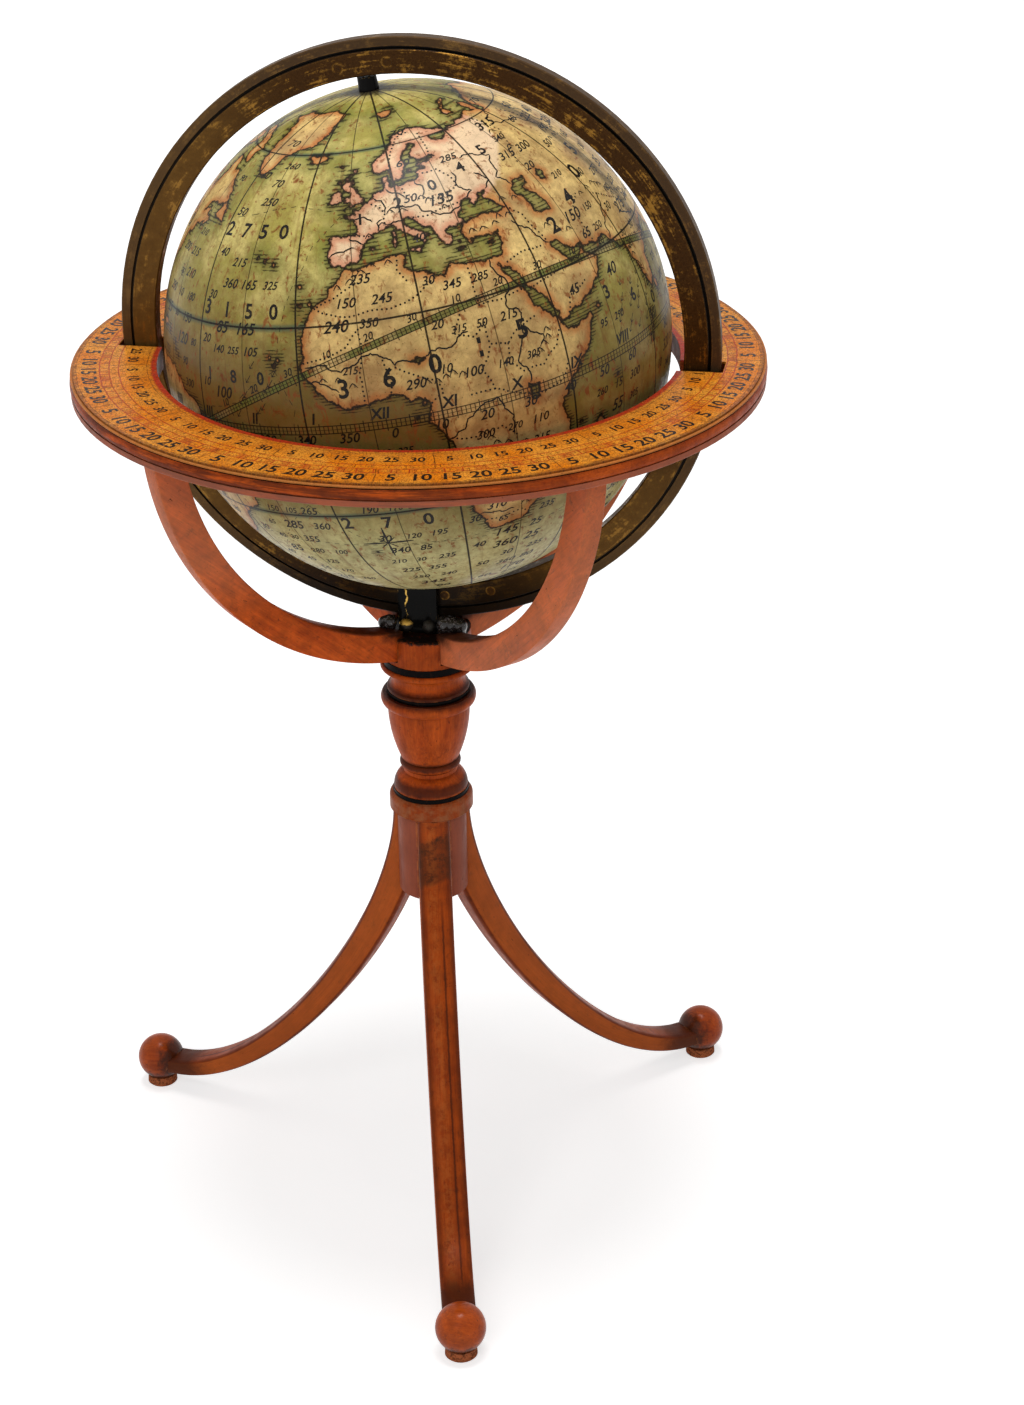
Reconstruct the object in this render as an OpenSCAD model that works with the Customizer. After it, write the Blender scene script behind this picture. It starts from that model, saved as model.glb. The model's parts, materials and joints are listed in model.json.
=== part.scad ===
// Pocket globe on a tripod stand: a 70 mm terrestrial ball in a brass meridian ring,
// which stands in the notches of a round horizon on four arms, a turned pillar and three sabre legs.
// Millimetres, +Z up, z = 0 is the table. The front foot points to -Y.

/* [Globe] */
// Diameter of the globe over its varnished map
globe_d = 70; // [66:0.5:74]
// Thickness of the plaster and paper that carry the map
map_t = 0.7; // [0.5:0.1:0.9]
// Wall of the two moulded paper half shells
shell_t = 2.4; // [1.8:0.1:3]
// Diameter of the wooden axle through the globe
axle_d = 6; // [5:0.5:8]
// Diameter of the steel pole pins
pin_d = 1; // [0.8:0.1:1.1]
// Depth to which a pole pin is driven into the end of the axle
pin_grip = 6; // [4:0.5:10]
// Length of a pole pin inside its pivot block
pin_in_block = 2.5; // [1.5:0.1:2.8]
// Diameter of the black pole collars at the meridian ring
collar_d = 2.6; // [2.2:0.1:2.7]
// Diameter of the collars at the globe
collar_base_d = 2.9; // [2.7:0.1:3.2]
// Lean of the polar axis from upright, as the globe is left standing
polar_lean = 9.5; // [0:0.5:40]

/* [Meridian ring] */
// Gap between the globe and the ring
ring_gap = 2.1; // [1.8:0.1:3]
// Width of the ring from its inner to its outer edge
ring_w = 5; // [4.6:0.1:6]
// Thickness over the raised inner band
ring_t = 2.5; // [2.3:0.1:3]
// Width of the thinner outer rim
rim_w = 1.3; // [1:0.1:1.5]
// Thickness of the outer rim
rim_t = 1.9; // [1.7:0.1:2.1]
// Width of the turned groove between the band and the rim
groove_w = 0.35; // [0.2:0.05:0.5]
// Depth of that groove below the rim
groove_d = 0.25; // [0.15:0.05:0.35]
// Thickness of the pivot blocks let into the ring at the poles
block_t = 1.6; // [1.5:0.1:1.8]
// Depth of a pivot block from the inner edge of the ring
block_w = 3; // [2.8:0.1:3.1]
// Half the angle that a pivot block fills
block_angle = 8.5; // [8:0.5:12]
// Diameter of the rivets that hold the blocks
rivet_d = 1.4; // [1:0.1:1.6]
// Angle between a rivet and the pole
rivet_angle = 5; // [4.5:0.5:6]
// Distance of the rivets from the inner edge of the ring
rivet_in = 1.6; // [1.3:0.1:1.8]

/* [Horizon] */
// Gap between the globe and the inner edge of the horizon
horizon_gap = 1.2; // [1:0.1:2]
// Width of the horizon from edge to edge
horizon_w = 12; // [11:0.5:14]
// Thickness of the horizon with its paper
horizon_t = 3.1; // [3:0.1:4]
// Thickness of the printed paper on the horizon
paper_t = 0.25; // [0.2:0.05:0.4]
// Strip of bare wood outside the paper
paper_inset = 0.5; // [0.4:0.1:1]
// Height of the thin bead round the horizon's upper edge
edge_bead = 0.3; // [0.2:0.05:0.4]
// Height of the quirk under that bead
edge_quirk = 0.15; // [0.1:0.05:0.2]
// Height of the rounded moulding below the quirk
edge_ovolo = 1.5; // [1.2:0.1:1.6]
// Room on each side of the meridian ring in its notches
notch_gap = 0.85; // [0.4:0.05:1.2]
// Room outside the meridian ring in its notches
notch_end_gap = 0.4; // [0.3:0.1:0.8]
// Height of the globe's centre above the horizon
globe_rise = 2.6; // [1.6:0.1:3]

/* [Arms] */
// Width of an arm, seen from its side
arm_w = 4.5; // [4:0.1:5.2]
// Thickness of an arm
arm_t = 3.2; // [2.8:0.1:3.6]
// Distance of the arms from the outer edge of the horizon
arm_inset = 4.6; // [4:0.1:6]
// How far an arm's centre of curvature lies past the column's axis
arm_past = 0.9; // [0:0.1:1.5]
// Height of the horizon's face above the arms' centre of curvature
arm_drop = 1; // [0.8:0.1:2]
// Distance from the column's axis to the root of an arm
arm_root = 5.1; // [5.1:0.1:5.5]
// Turn of the whole head on the stand
head_turn = -14; // [-30:1:30]
// Diameter of the pegs in the arms
peg_d = 1.2; // [1:0.1:1.6]
// Length of a peg on each side of its joint
peg_grip = 2; // [1.5:0.1:2.2]

/* [Fork] */
// Width of the black fork, seen from the front
fork_w = 5.6; // [5.2:0.1:6.4]
// How far the fork is set to the side of the column's axis
fork_side = -0.7; // [-1:0.1:1]
// Thickness of each cheek of the fork
cheek_t = 1.4; // [1:0.1:1.45]
// Room on each side of the ring in the fork
fork_gap = 0.2; // [0.15:0.05:0.25]
// Height of the ring's lowest point above the boss
fork_lift = 1.9; // [1.8:0.1:2.5]
// Room between the globe and the top of the fork
fork_clear = 1.6; // [1.2:0.1:2]
// Thickness of the fork's floor
fork_floor_t = 0.4; // [0.3:0.05:0.5]
// Diameter of the fork's spigot in the boss
fork_spigot_d = 2.4; // [2:0.1:3]
// Length of that spigot
fork_spigot_h = 3; // [2:0.1:3.2]
// Diameter of the two brass rest pins
rest_pin_d = 1.2; // [0.8:0.1:1.3]
// Diameter of a rest pin's domed head
rest_head_d = 2.2; // [1.8:0.1:2.3]
// Height of a rest pin's domed head
rest_head_h = 0.8; // [0.5:0.1:0.9]
// Distance of each rest pin from the middle of the fork
rest_pin_x = 1.7; // [1.6:0.05:1.75]
// Gap between the ring and the rest pins
rest_gap = 0.3; // [0.2:0.05:0.4]
// Thickness of the lump of wax left of the fork
wax_small_d = 2.2; // [1.8:0.1:2.6]
// Length of that lump
wax_small_l = 2.9; // [2.7:0.1:3.4]
// Thickness of the longer lump right of the fork
wax_big_d = 2.5; // [2:0.1:3]
// Length of the longer lump
wax_big_l = 4.6; // [3.4:0.1:5]
// Height of the middle of the lumps over the boss, less their radius
wax_lift = 0.7; // [0.2:0.1:1]
// Gap between the lumps of wax and the fork
wax_gap = 0.1; // [0.05:0.05:0.3]

/* [Pillar] */
// Diameter of the cylinder below the collar, in which the legs sit
block_d = 10.2; // [9.6:0.1:11]
// Height of that cylinder
block_h = 13.6; // [12:0.1:15]
// Height of the cylinder's lower end above the table
block_z = 48.1; // [44:0.1:52]
// Diameter of the collar over the legs
collar_over_d = 12.3; // [12:0.1:13.5]
// Height of the collar over the legs
collar_over_h = 2.9; // [2.4:0.1:3.6]
// Diameter of the vase at its foot
vase_foot_d = 10.9; // [10:0.1:11.5]
// Diameter of the vase's neck
vase_neck_d = 8; // [7:0.1:8.2]
// Height of the vase's domed foot
vase_foot_h = 2.7; // [2.2:0.1:3.2]
// Height of the quirk between that foot and the small bead
neck_h = 0.7; // [0.5:0.1:1]
// Diameter of the small bead under the bowl
bead_d = 9; // [8.6:0.1:9.6]
// Thickness of the small bead
bead_t = 1.4; // [1:0.1:1.8]
// Largest diameter of the bowl
bowl_d = 12; // [11.4:0.1:12.6]
// Height of the bowl
bowl_h = 8.6; // [7.6:0.1:10]
// Diameter over the big bead at the top of the bowl
torus_d = 13.9; // [13.4:0.1:14.6]
// Thickness of the big bead
torus_t = 2.6; // [2.2:0.1:2.8]
// Diameter of the hollow neck under the boss
waist_d = 10.5; // [10:0.1:11.4]
// Height of the hollow neck
waist_h = 3.3; // [2.8:0.1:4]
// Diameter of the lip under the boss
lip_d = 13.8; // [13.4:0.1:14.6]
// Height of the lip
lip_h = 0.9; // [0.7:0.1:1.4]
// Diameter of the boss that carries the arms
boss_d = 12.8; // [12.6:0.1:13.2]
// Height of the arms' underside above the boss's lower end, where they enter it
arm_seat = 0.9; // [0.3:0.1:1]
// Diameter of the spigots that join the turned pieces
spigot_d = 3.4; // [2.6:0.1:4]
// Length of those spigots
spigot_h = 4; // [3:0.1:4.5]
// Height of the black line at the boss
boss_line_h = 1; // [0.6:0.1:1.2]
// Height of the black lines at the big bead and at the collar
line_h = 0.6; // [0.3:0.05:0.7]
// Depth of the grooves that hold the black lines
line_depth = 0.6; // [0.4:0.1:0.8]
// How far the black lines stand out of the wood
line_proud = 0.1; // [0:0.05:0.2]

/* [Legs] */
// Width of a leg, seen from the front
leg_w = 4.8; // [4:0.1:5.2]
// Thickness of a leg at the collar
leg_t_top = 5.8; // [5.2:0.1:6.4]
// Thickness of a leg at its foot
leg_t_foot = 2.7; // [2.3:0.1:3.2]
// Height of the ridge along a leg's upper face
leg_ridge = 0.5; // [0.1:0.05:0.6]
// Rounding of a leg's edges
leg_round = 0.6; // [0.3:0.1:0.8]
// Distance of a leg's centre line from the column's axis at the collar
leg_start = 3.1; // [2.9:0.1:3.3]
// Distance from the column's axis to the flat inner end of a leg
leg_root = 3.2; // [3:0.1:3.5]
// How far a leg runs straight down before it sweeps out
leg_plumb = 17.9; // [14:0.1:22]
// How far a leg runs flat before its foot
leg_flat = 19.9; // [15:0.1:24]
// Slope of a leg at its foot, in degrees
leg_slope = 5; // [1:0.5:10]
// Distance of the feet from the column's axis
foot_r = 50.8; // [47:0.1:54]
// Diameter of the ball feet
ball_d = 7.3; // [6.6:0.1:8]
// Height of a ball's underside above the table
ball_lift = 0.95; // [0.7:0.05:1.3]
// Diameter of the pads under the balls
pad_d = 4.7; // [4:0.1:5.2]
// Height of the pads
pad_h = 1.5; // [1.4:0.1:1.8]
// Length of a leg's end inside its ball
toe_in = 1.8; // [1.4:0.1:2.2]

/* [Fits] */
// Radial running clearance of the pole pins in their blocks
pin_play = 0.05; // [0.03:0.01:0.08]
// Glue gap around pieces that are glued or driven in
glue_gap = 0.02; // [0.01:0.01:0.04]
// Gap between the shells and the plaster
paste_gap = 0.1; // [0.05:0.01:0.15]
// Gap between a pole collar and the meridian ring
collar_gap = 0.25; // [0.2:0.05:0.35]
// Room past the ends of pins, pegs and spigots
end_gap = 0.1; // [0.05:0.05:0.2]

/* [Hidden] */

ROUND = 96;
ARC_STEPS = 10;
LEG_STEPS = 26;
BIG = 200;

globe_r = globe_d / 2;
shell_r = globe_r - map_t - paste_gap;
ring_ri = globe_r + ring_gap;
ring_ro = ring_ri + ring_w;
horizon_ri = globe_r + horizon_gap;
horizon_ro = horizon_ri + horizon_w;
ball_r = ball_d / 2;
foot_reach = foot_r + ball_r;
column_y = (foot_reach - horizon_ro) / 2;

// Heights, from the table up
collar_z = block_z + block_h;
collar_line_z = collar_z + collar_over_h;
vase_z = collar_line_z + line_h;
bead_z = vase_z + vase_foot_h + neck_h;
bowl_z = bead_z + bead_t;
torus_z = bowl_z + bowl_h;
torus_shoulder = 40;
bead_line_z = torus_z + torus_t / 2 * (1 + sin(torus_shoulder));
waist_z = bead_line_z + line_h;
lip_z = waist_z + waist_h;
boss_line_z = lip_z + lip_h;
boss_z = boss_line_z + boss_line_h;

// The arms are round their own centre, a little past the column's axis
arm_ro = horizon_ro - arm_inset + arm_past;
arm_ri = arm_ro - arm_w;
arm_z = boss_z + arm_seat + sqrt(arm_ro * arm_ro - pow(boss_d / 2 + arm_past, 2));
horizon_z = arm_z + arm_drop;
horizon_under_z = horizon_z - horizon_t;
globe_z = horizon_z + globe_rise;
boss_top_z = globe_z - ring_ro - fork_lift;
arm_mid_z = arm_z - sqrt(pow(arm_ro - arm_w / 2, 2) - pow(boss_d / 2 + arm_past, 2));
arm_top_x = sqrt(pow(arm_ro - arm_w / 2, 2) - pow(horizon_under_z - arm_z, 2)) - arm_past;
arm_turns = [225, 313, 45, 137];

slot_w = ring_t + 2 * fork_gap;
fork_t = slot_w + 2 * cheek_t;
fork_floor_z = boss_top_z + fork_floor_t;
fork_top_r = globe_r + fork_clear;
rest_pin_far = rest_pin_x + abs(fork_side);
rest_pin_z = globe_z - sqrt(pow(ring_ro, 2) - pow(rest_pin_far, 2)) - rest_gap - rest_pin_d / 2;

rivet_r = ring_ri + rivet_in;
// The axle ends just inside the shells' outer surface
axle_half = sqrt(pow(shell_r, 2) - pow(axle_d / 2, 2)) - end_gap;
// The spigot between pillar and boss stops short of the fork's
spigot_room = 0.6;
boss_spigot_h = min(spigot_h, boss_top_z - fork_spigot_h - lip_z - spigot_room);
leg_turns = [-90, 30, 150];
ball_z = ball_lift + ball_r;

// Points along an arc round [x, y], from angle a to angle b
function arc(x, y, r, a, b, n = ARC_STEPS) =
    [for (i = [0:n]) let (t = a + (b - a) * i / n) [x + r * cos(t), y + r * sin(t)]];

// A cubic curve and its direction
function curve(p, t) =
    pow(1 - t, 3) * p[0] + 3 * pow(1 - t, 2) * t * p[1] + 3 * (1 - t) * t * t * p[2] + pow(t, 3) * p[3];
function heading(p, t) =
    3 * pow(1 - t, 2) * (p[1] - p[0]) + 6 * (1 - t) * t * (p[2] - p[1]) + 3 * t * t * (p[3] - p[2]);
function unit(v) = v / norm(v);

// Places
module at_column() translate([0, column_y, 0]) children();
module in_head() at_column() rotate(head_turn) children();
module in_ring() in_head() translate([0, 0, globe_z]) children();
module on_pole(south = false) in_ring() rotate([0, (south ? 180 : 0) - polar_lean, 0]) children();
module at_leg(i) at_column() rotate(leg_turns[i]) children();
module at_arm(i) in_head() rotate(arm_turns[i]) children();

module turned(points) rotate_extrude($fn = ROUND) polygon(points);
module rod(d, h) cylinder(d = d, h = h, $fn = 48);
module tube(r_in, r_out, h) {
    difference() {
        cylinder(r = r_out, h = h, $fn = ROUND);
        translate([0, 0, -1]) cylinder(r = r_in, h = h + 2, $fn = ROUND);
    }
}

// Globe

module pole_hole(d) translate([0, 0, globe_r / 2]) rod(d, ring_ro);

module globe_map() {
    color("darkkhaki") on_pole() difference() {
        sphere(r = globe_r, $fn = ROUND);
        sphere(r = globe_r - map_t, $fn = ROUND);
        pole_hole(collar_base_d + end_gap);
        mirror([0, 0, 1]) pole_hole(collar_base_d + end_gap);
    }
}

module half_shell() {
    difference() {
        sphere(r = shell_r, $fn = ROUND);
        sphere(r = shell_r - shell_t, $fn = ROUND);
        translate([0, 0, -globe_r]) cube(2 * globe_r, center = true);
        pole_hole(axle_d + 2 * glue_gap);
    }
}

module globe_north_shell() color("tan") on_pole() half_shell();
module globe_south_shell() color("tan") on_pole(true) half_shell();

module globe_axle() {
    color("peru") on_pole() difference() {
        translate([0, 0, -axle_half]) rod(axle_d, 2 * axle_half);
        for (side = [0, 1]) mirror([0, 0, side])
            translate([0, 0, axle_half - pin_grip - end_gap]) rod(pin_d + 2 * glue_gap, globe_r);
    }
}

// A pin runs from the axle, through its collar, into the pivot block
module pole_pin() {
    pin_z = axle_half - pin_grip;
    translate([0, 0, pin_z]) rod(pin_d, ring_ri + pin_in_block - pin_z);
}

module north_pole_pin() color("slategray") on_pole() pole_pin();
module south_pole_pin() color("slategray") on_pole(true) pole_pin();

module pole_collar() {
    collar_z0 = axle_half + end_gap;
    difference() {
        translate([0, 0, collar_z0])
            cylinder(d1 = collar_base_d, d2 = collar_d, h = ring_ri - collar_gap - collar_z0, $fn = 48);
        pole_hole(pin_d + 2 * glue_gap);
    }
}

module north_pole_collar() color("black") on_pole() pole_collar();
module south_pole_collar() color("black") on_pole(true) pole_collar();

// Meridian ring

module ring_sector(r_in, r_out, t, half_angle) {
    rotate([90, 0, 0]) rotate(90 - half_angle)
        rotate_extrude(angle = 2 * half_angle, $fn = ROUND)
            translate([r_in, -t / 2]) square([r_out - r_in, t]);
}

module rivet_shanks(d, length) {
    for (side = [-1, 1])
        rotate([0, side * rivet_angle, 0]) translate([0, 0, rivet_r])
            rotate([90, 0, 0]) cylinder(d = d, h = length, center = true, $fn = 32);
}

// Half of the ring's section: raised band, groove and rim
function ring_side() =
    let (edge = 0.15, band = ring_t / 2, rim = rim_t / 2, rim_r = ring_ro - rim_w)
    [[ring_ri, band - edge], [ring_ri + edge, band],
     [rim_r - groove_w - edge, band], [rim_r - groove_w, band - edge],
     [rim_r - groove_w, rim - groove_d], [rim_r, rim - groove_d],
     [rim_r, rim], [ring_ro - edge, rim], [ring_ro, rim - edge]];

module meridian_ring() {
    other_side = [for (i = [len(ring_side()) - 1:-1:0]) [ring_side()[i][0], -ring_side()[i][1]]];
    color("darkgoldenrod") difference() {
        in_ring() rotate([90, 0, 0]) turned(concat(ring_side(), other_side));
        for (south = [false, true]) on_pole(south) {
            ring_sector(ring_ri - 1, ring_ri + block_w + glue_gap, block_t + 2 * glue_gap,
                block_angle + 0.05);
            rivet_shanks(rivet_d + 2 * glue_gap, 2 * ring_t);
        }
    }
}

// The block that carries a pole pin, let into the ring from inside
module pivot_block() {
    difference() {
        ring_sector(ring_ri, ring_ri + block_w, block_t, block_angle);
        translate([0, 0, ring_ri - 1]) rod(pin_d + 2 * pin_play, block_w + 2);
        rivet_shanks(rivet_d + 2 * glue_gap, 2 * ring_t);
    }
}

module north_pivot_block() color("goldenrod") on_pole() pivot_block();
module south_pivot_block() color("goldenrod") on_pole(true) pivot_block();
module north_rivets() color("olive") on_pole() rivet_shanks(rivet_d, ring_t);
module south_rivets() color("olive") on_pole(true) rivet_shanks(rivet_d, ring_t);

// Horizon

// The two notches in which the meridian ring stands
module notches() {
    notch_r = ring_ro + notch_end_gap;
    translate([0, 0, horizon_z]) cube([2 * notch_r, ring_t + 2 * notch_gap, BIG], center = true);
}

// Section of the horizon's wood, from its top face down its moulded edge
function horizon_section() =
    let (r = horizon_ro, wood_t = horizon_t - paper_t, bead_r = edge_bead / 2, step = 0.1,
         quirk_z = -edge_bead, ovolo_z = quirk_z - edge_quirk, fillet_z = ovolo_z - edge_ovolo,
         roundness = 0.85, ovolo_r = roundness * edge_ovolo, swing = asin(edge_ovolo / 2 / ovolo_r))
    concat(
        [[horizon_ri, 0]],
        arc(r - step - bead_r, -bead_r, bead_r, 90, -80, 6),
        [[r - paper_inset, quirk_z], [r - paper_inset, ovolo_z]],
        arc(r - ovolo_r, (ovolo_z + fillet_z) / 2, ovolo_r, swing, -swing, 8),
        [[r - step, fillet_z - step / 2], [r - step, step - wood_t], [r - 2 * step, -wood_t],
         [horizon_ri, -wood_t]]);

module horizon_ring() {
    color("sienna") difference() {
        in_head() translate([0, 0, horizon_z - paper_t]) turned(horizon_section());
        in_head() notches();
        for (i = [0:3]) at_arm(i) horizon_peg(glue_gap, end_gap);
    }
}

module horizon_paper() {
    color("orange") in_head() difference() {
        translate([0, 0, horizon_z - paper_t]) tube(horizon_ri, horizon_ro - paper_inset, paper_t);
        notches();
    }
}

// Arms

module arm_shape() {
    rotate([90, 0, 0]) linear_extrude(arm_t, center = true) intersection() {
        translate([-arm_past, arm_z]) difference() {
            circle(r = arm_ro, $fn = ROUND);
            circle(r = arm_ri, $fn = ROUND);
        }
        translate([arm_root, 0]) square([BIG, horizon_under_z]);
    }
}

module arm_dowel(gap = 0, room = 0) {
    translate([boss_d / 2 - peg_grip - room, 0, arm_mid_z]) rotate([0, 90, 0])
        rod(peg_d + 2 * gap, 2 * (peg_grip + room));
}

module horizon_peg(gap = 0, room = 0) {
    translate([arm_top_x, 0, horizon_under_z - peg_grip - room])
        rod(peg_d + 2 * gap, 2 * (peg_grip + room));
}

module arm(i) {
    color("chocolate") at_arm(i) difference() {
        arm_shape();
        arm_dowel(glue_gap, end_gap);
        horizon_peg(glue_gap, end_gap);
    }
}

module arm_front_left() arm(0);
module arm_front_right() arm(1);
module arm_back_right() arm(2);
module arm_back_left() arm(3);
module arm_dowels() color("burlywood") for (i = [0:3]) at_arm(i) arm_dowel();
module horizon_pegs() color("burlywood") for (i = [0:3]) at_arm(i) horizon_peg();

// Head of the pillar

module head_boss() {
    lip_r = lip_d / 2;
    boss_r = boss_d / 2;
    line_r = boss_r - line_depth;
    lip_step = 0.35;
    chamfer = 0.2;
    color("sienna") difference() {
        at_column() turned(concat(
            [[0, lip_z], [lip_r - lip_step, lip_z]],
            arc(lip_r - lip_h / 2, lip_z + lip_h / 2, lip_h / 2, -70, 90, 6),
            [[line_r, boss_line_z], [line_r, boss_z], [boss_r, boss_z],
             [boss_r, boss_top_z - chamfer], [boss_r - chamfer, boss_top_z], [0, boss_top_z]]));
        at_column() translate([0, 0, boss_top_z - fork_spigot_h - end_gap])
            rod(fork_spigot_d + 2 * glue_gap, BIG);
        at_column() translate([0, 0, lip_z - 1]) rod(spigot_d + 2 * glue_gap, 1 + boss_spigot_h + end_gap);
        for (i = [0:3]) at_arm(i) {
            arm_socket();
            arm_dowel(glue_gap, end_gap);
        }
    }
}

// The housing in the boss's side for an arm's root
module arm_socket() {
    root_z = arm_z - sqrt(pow(arm_ro, 2) - pow(arm_root + arm_past, 2));
    translate([arm_root - glue_gap, -arm_t / 2 - glue_gap, root_z - glue_gap])
        cube([boss_d, arm_t + 2 * glue_gap, BIG]);
}

// Black fork in which the ring slides
module fork_body(grow = 0) {
    in_head() difference() {
        translate([fork_side - fork_w / 2 - grow, -fork_t / 2 - grow, boss_top_z])
            cube([fork_w + 2 * grow, fork_t + 2 * grow, globe_z - globe_r - boss_top_z]);
        translate([0, 0, globe_z]) rotate([90, 0, 0])
            cylinder(r = fork_top_r, h = BIG, center = true, $fn = ROUND);
    }
}

module ring_fork() {
    color("black") difference() {
        union() {
            fork_body();
            in_head() translate([0, 0, boss_top_z - fork_spigot_h]) rod(fork_spigot_d, fork_spigot_h + 0.2);
        }
        in_head() translate([-fork_w, -slot_w / 2, fork_floor_z]) cube([2 * fork_w, slot_w, BIG]);
        in_head() rest_pins(glue_gap);
    }
}

module rest_pins(gap = 0) {
    for (side = [-1, 1]) translate([fork_side + side * rest_pin_x, 0, rest_pin_z]) rotate([90, 0, 0])
        cylinder(d = rest_pin_d + 2 * gap, h = fork_t + 2 * gap, center = true, $fn = 32);
}

module rest_pin_head() {
    dome_r = (pow(rest_head_d / 2, 2) + pow(rest_head_h, 2)) / (2 * rest_head_h);
    intersection() {
        translate([0, 0, rest_head_h - dome_r]) sphere(r = dome_r, $fn = 48);
        rod(rest_head_d, rest_head_h);
    }
}

// The heads have a flat below, where they stand on the boss
module fork_rest_pins() {
    color("gold") in_head() intersection() {
        for (side = [-1, 1]) translate([fork_side + side * rest_pin_x, 0, rest_pin_z]) rotate([90, 0, 0]) {
            translate([0, 0, -fork_t / 2]) rod(rest_pin_d, fork_t + glue_gap);
            translate([0, 0, fork_t / 2]) rest_pin_head();
        }
        translate([-BIG / 2, -BIG / 2, boss_top_z + glue_gap]) cube(BIG);
    }
}

// A lump of wax that tapers away from the fork; side is -1 for left
module wax_lump(side, d, l) {
    taper = 0.06;
    foot = 0.8;
    for (i = [0:2]) {
        r = d / 2 * (1 - i * taper);
        x = fork_side + side * (fork_w / 2 + wax_gap + d / 2 + (l - d) * i / 2);
        translate([x, -fork_t / 2 - wax_big_d / 4, boss_top_z]) {
            translate([0, 0, wax_lift + r]) sphere(r = r, $fn = 40);
            cylinder(r = foot * r, h = wax_lift + r, $fn = 40);
        }
    }
}

// Two lumps of black wax beside the fork, on the roots of the front arms
module fork_wax() {
    color("black") difference() {
        in_head() {
            wax_lump(-1, wax_small_d, wax_small_l);
            wax_lump(1, wax_big_d, wax_big_l);
        }
        for (i = [0:1]) at_arm(i) arm_shape();
        fork_body(wax_gap);
    }
}

// Pillar

module vase_pillar() {
    foot_r0 = vase_foot_d / 2;
    neck_r = vase_neck_d / 2;
    bead_r = bead_t / 2;
    bowl_r = bowl_d / 2;
    torus_r = torus_t / 2;
    line_r = bowl_r - line_depth;
    fillet = 0.3;
    seat_step = 0.5;
    dome_z = vase_z + fillet;
    dome_h = vase_foot_h - fillet;
    dome_r = (pow(foot_r0 - neck_r, 2) + pow(dome_h, 2)) / (2 * (foot_r0 - neck_r));
    bowl_foot_r = bead_d / 2 - fillet;
    bowl_arc_r = (pow(bowl_r - bowl_foot_r, 2) + pow(bowl_h, 2)) / (2 * (bowl_r - bowl_foot_r));
    waist_r = waist_h / 2;
    color("sienna") at_column() union() {
        turned(concat(
            [[0, vase_z], [foot_r0, vase_z]],
            arc(foot_r0 - dome_r, dome_z, dome_r, 0, asin(dome_h / dome_r), 8),
            [[neck_r, bead_z - end_gap]],
            arc(bead_d / 2 - bead_r, bead_z + bead_r, bead_r, -80, 80, 8),
            arc(bowl_r - bowl_arc_r, torus_z, bowl_arc_r, -asin(bowl_h / bowl_arc_r), 0, 12),
            arc(torus_d / 2 - torus_r, torus_z + torus_r, torus_r, -70, torus_shoulder, 10),
            [[line_r, bead_line_z], [line_r, waist_z], [bowl_r, waist_z], [bowl_r, waist_z + fillet]],
            arc(waist_d / 2 + waist_r, lip_z - waist_r + fillet / 2, waist_r, 235, 120, 10),
            [[lip_d / 2 - seat_step, lip_z], [0, lip_z]]));
        translate([0, 0, vase_z - line_h - spigot_h]) rod(spigot_d, line_h + spigot_h + seat_step);
        translate([0, 0, lip_z - seat_step]) rod(spigot_d, seat_step + boss_spigot_h);
    }
}

module leg_block() {
    collar_r = collar_over_d / 2;
    block_r = block_d / 2;
    chamfer = 0.3;
    shoulder_r = 0.8;
    color("sienna") difference() {
        at_column() turned(concat(
            [[0, block_z], [block_r - chamfer, block_z], [block_r, block_z + chamfer], [block_r, collar_z],
             [collar_r - chamfer, collar_z], [collar_r, collar_z + chamfer]],
            arc(collar_r - shoulder_r, collar_line_z - shoulder_r, shoulder_r, 0, 90, 4),
            [[0, collar_line_z]]));
        at_column() translate([0, 0, vase_z - line_h - spigot_h - end_gap])
            rod(spigot_d + 2 * glue_gap, BIG);
        for (i = [0:2]) at_leg(i)
            translate([leg_root - glue_gap, -leg_w / 2 - glue_gap, block_z - 1])
                cube([block_d, leg_w + 2 * glue_gap, block_h + 1]);
    }
}

module boss_line() {
    color("black") at_column() translate([0, 0, boss_line_z])
        tube(boss_d / 2 - line_depth + glue_gap, boss_d / 2 + line_proud, boss_line_h);
}

module bead_line() {
    color("black") at_column() translate([0, 0, bead_line_z])
        tube(bowl_d / 2 - line_depth + glue_gap, bowl_d / 2 + line_proud, line_h);
}

module collar_line() {
    color("black") at_column() translate([0, 0, collar_line_z])
        tube(spigot_d / 2 + glue_gap, vase_foot_d / 2 + line_proud, line_h);
}

// Legs

leg_path = [
    [leg_start, collar_z], [leg_start, collar_z - leg_plumb],
    [foot_r - ball_r - leg_flat * cos(leg_slope), ball_z + leg_flat * sin(leg_slope)],
    [foot_r - ball_r, ball_z]];

// Section of a leg between its inner side and its ridge, as [sideways, outwards]
function leg_section(inner, outer, grow = 0) =
    let (w = leg_w / 2 + grow, o = outer + grow, i = inner - grow, r = leg_round)
    [[0, o], [w - r, o - leg_ridge], [w, o - leg_ridge - r], [w, i + r], [w - r, i],
     [r - w, i], [-w, i + r], [-w, o - leg_ridge - r], [r - w, o - leg_ridge]];

// One ring of points: centre c, outward direction n, section s
function leg_ring(c, n, s) = [for (p = s) [c[0] + n[0] * p[1], p[0], c[1] + n[1] * p[1]]];

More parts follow.
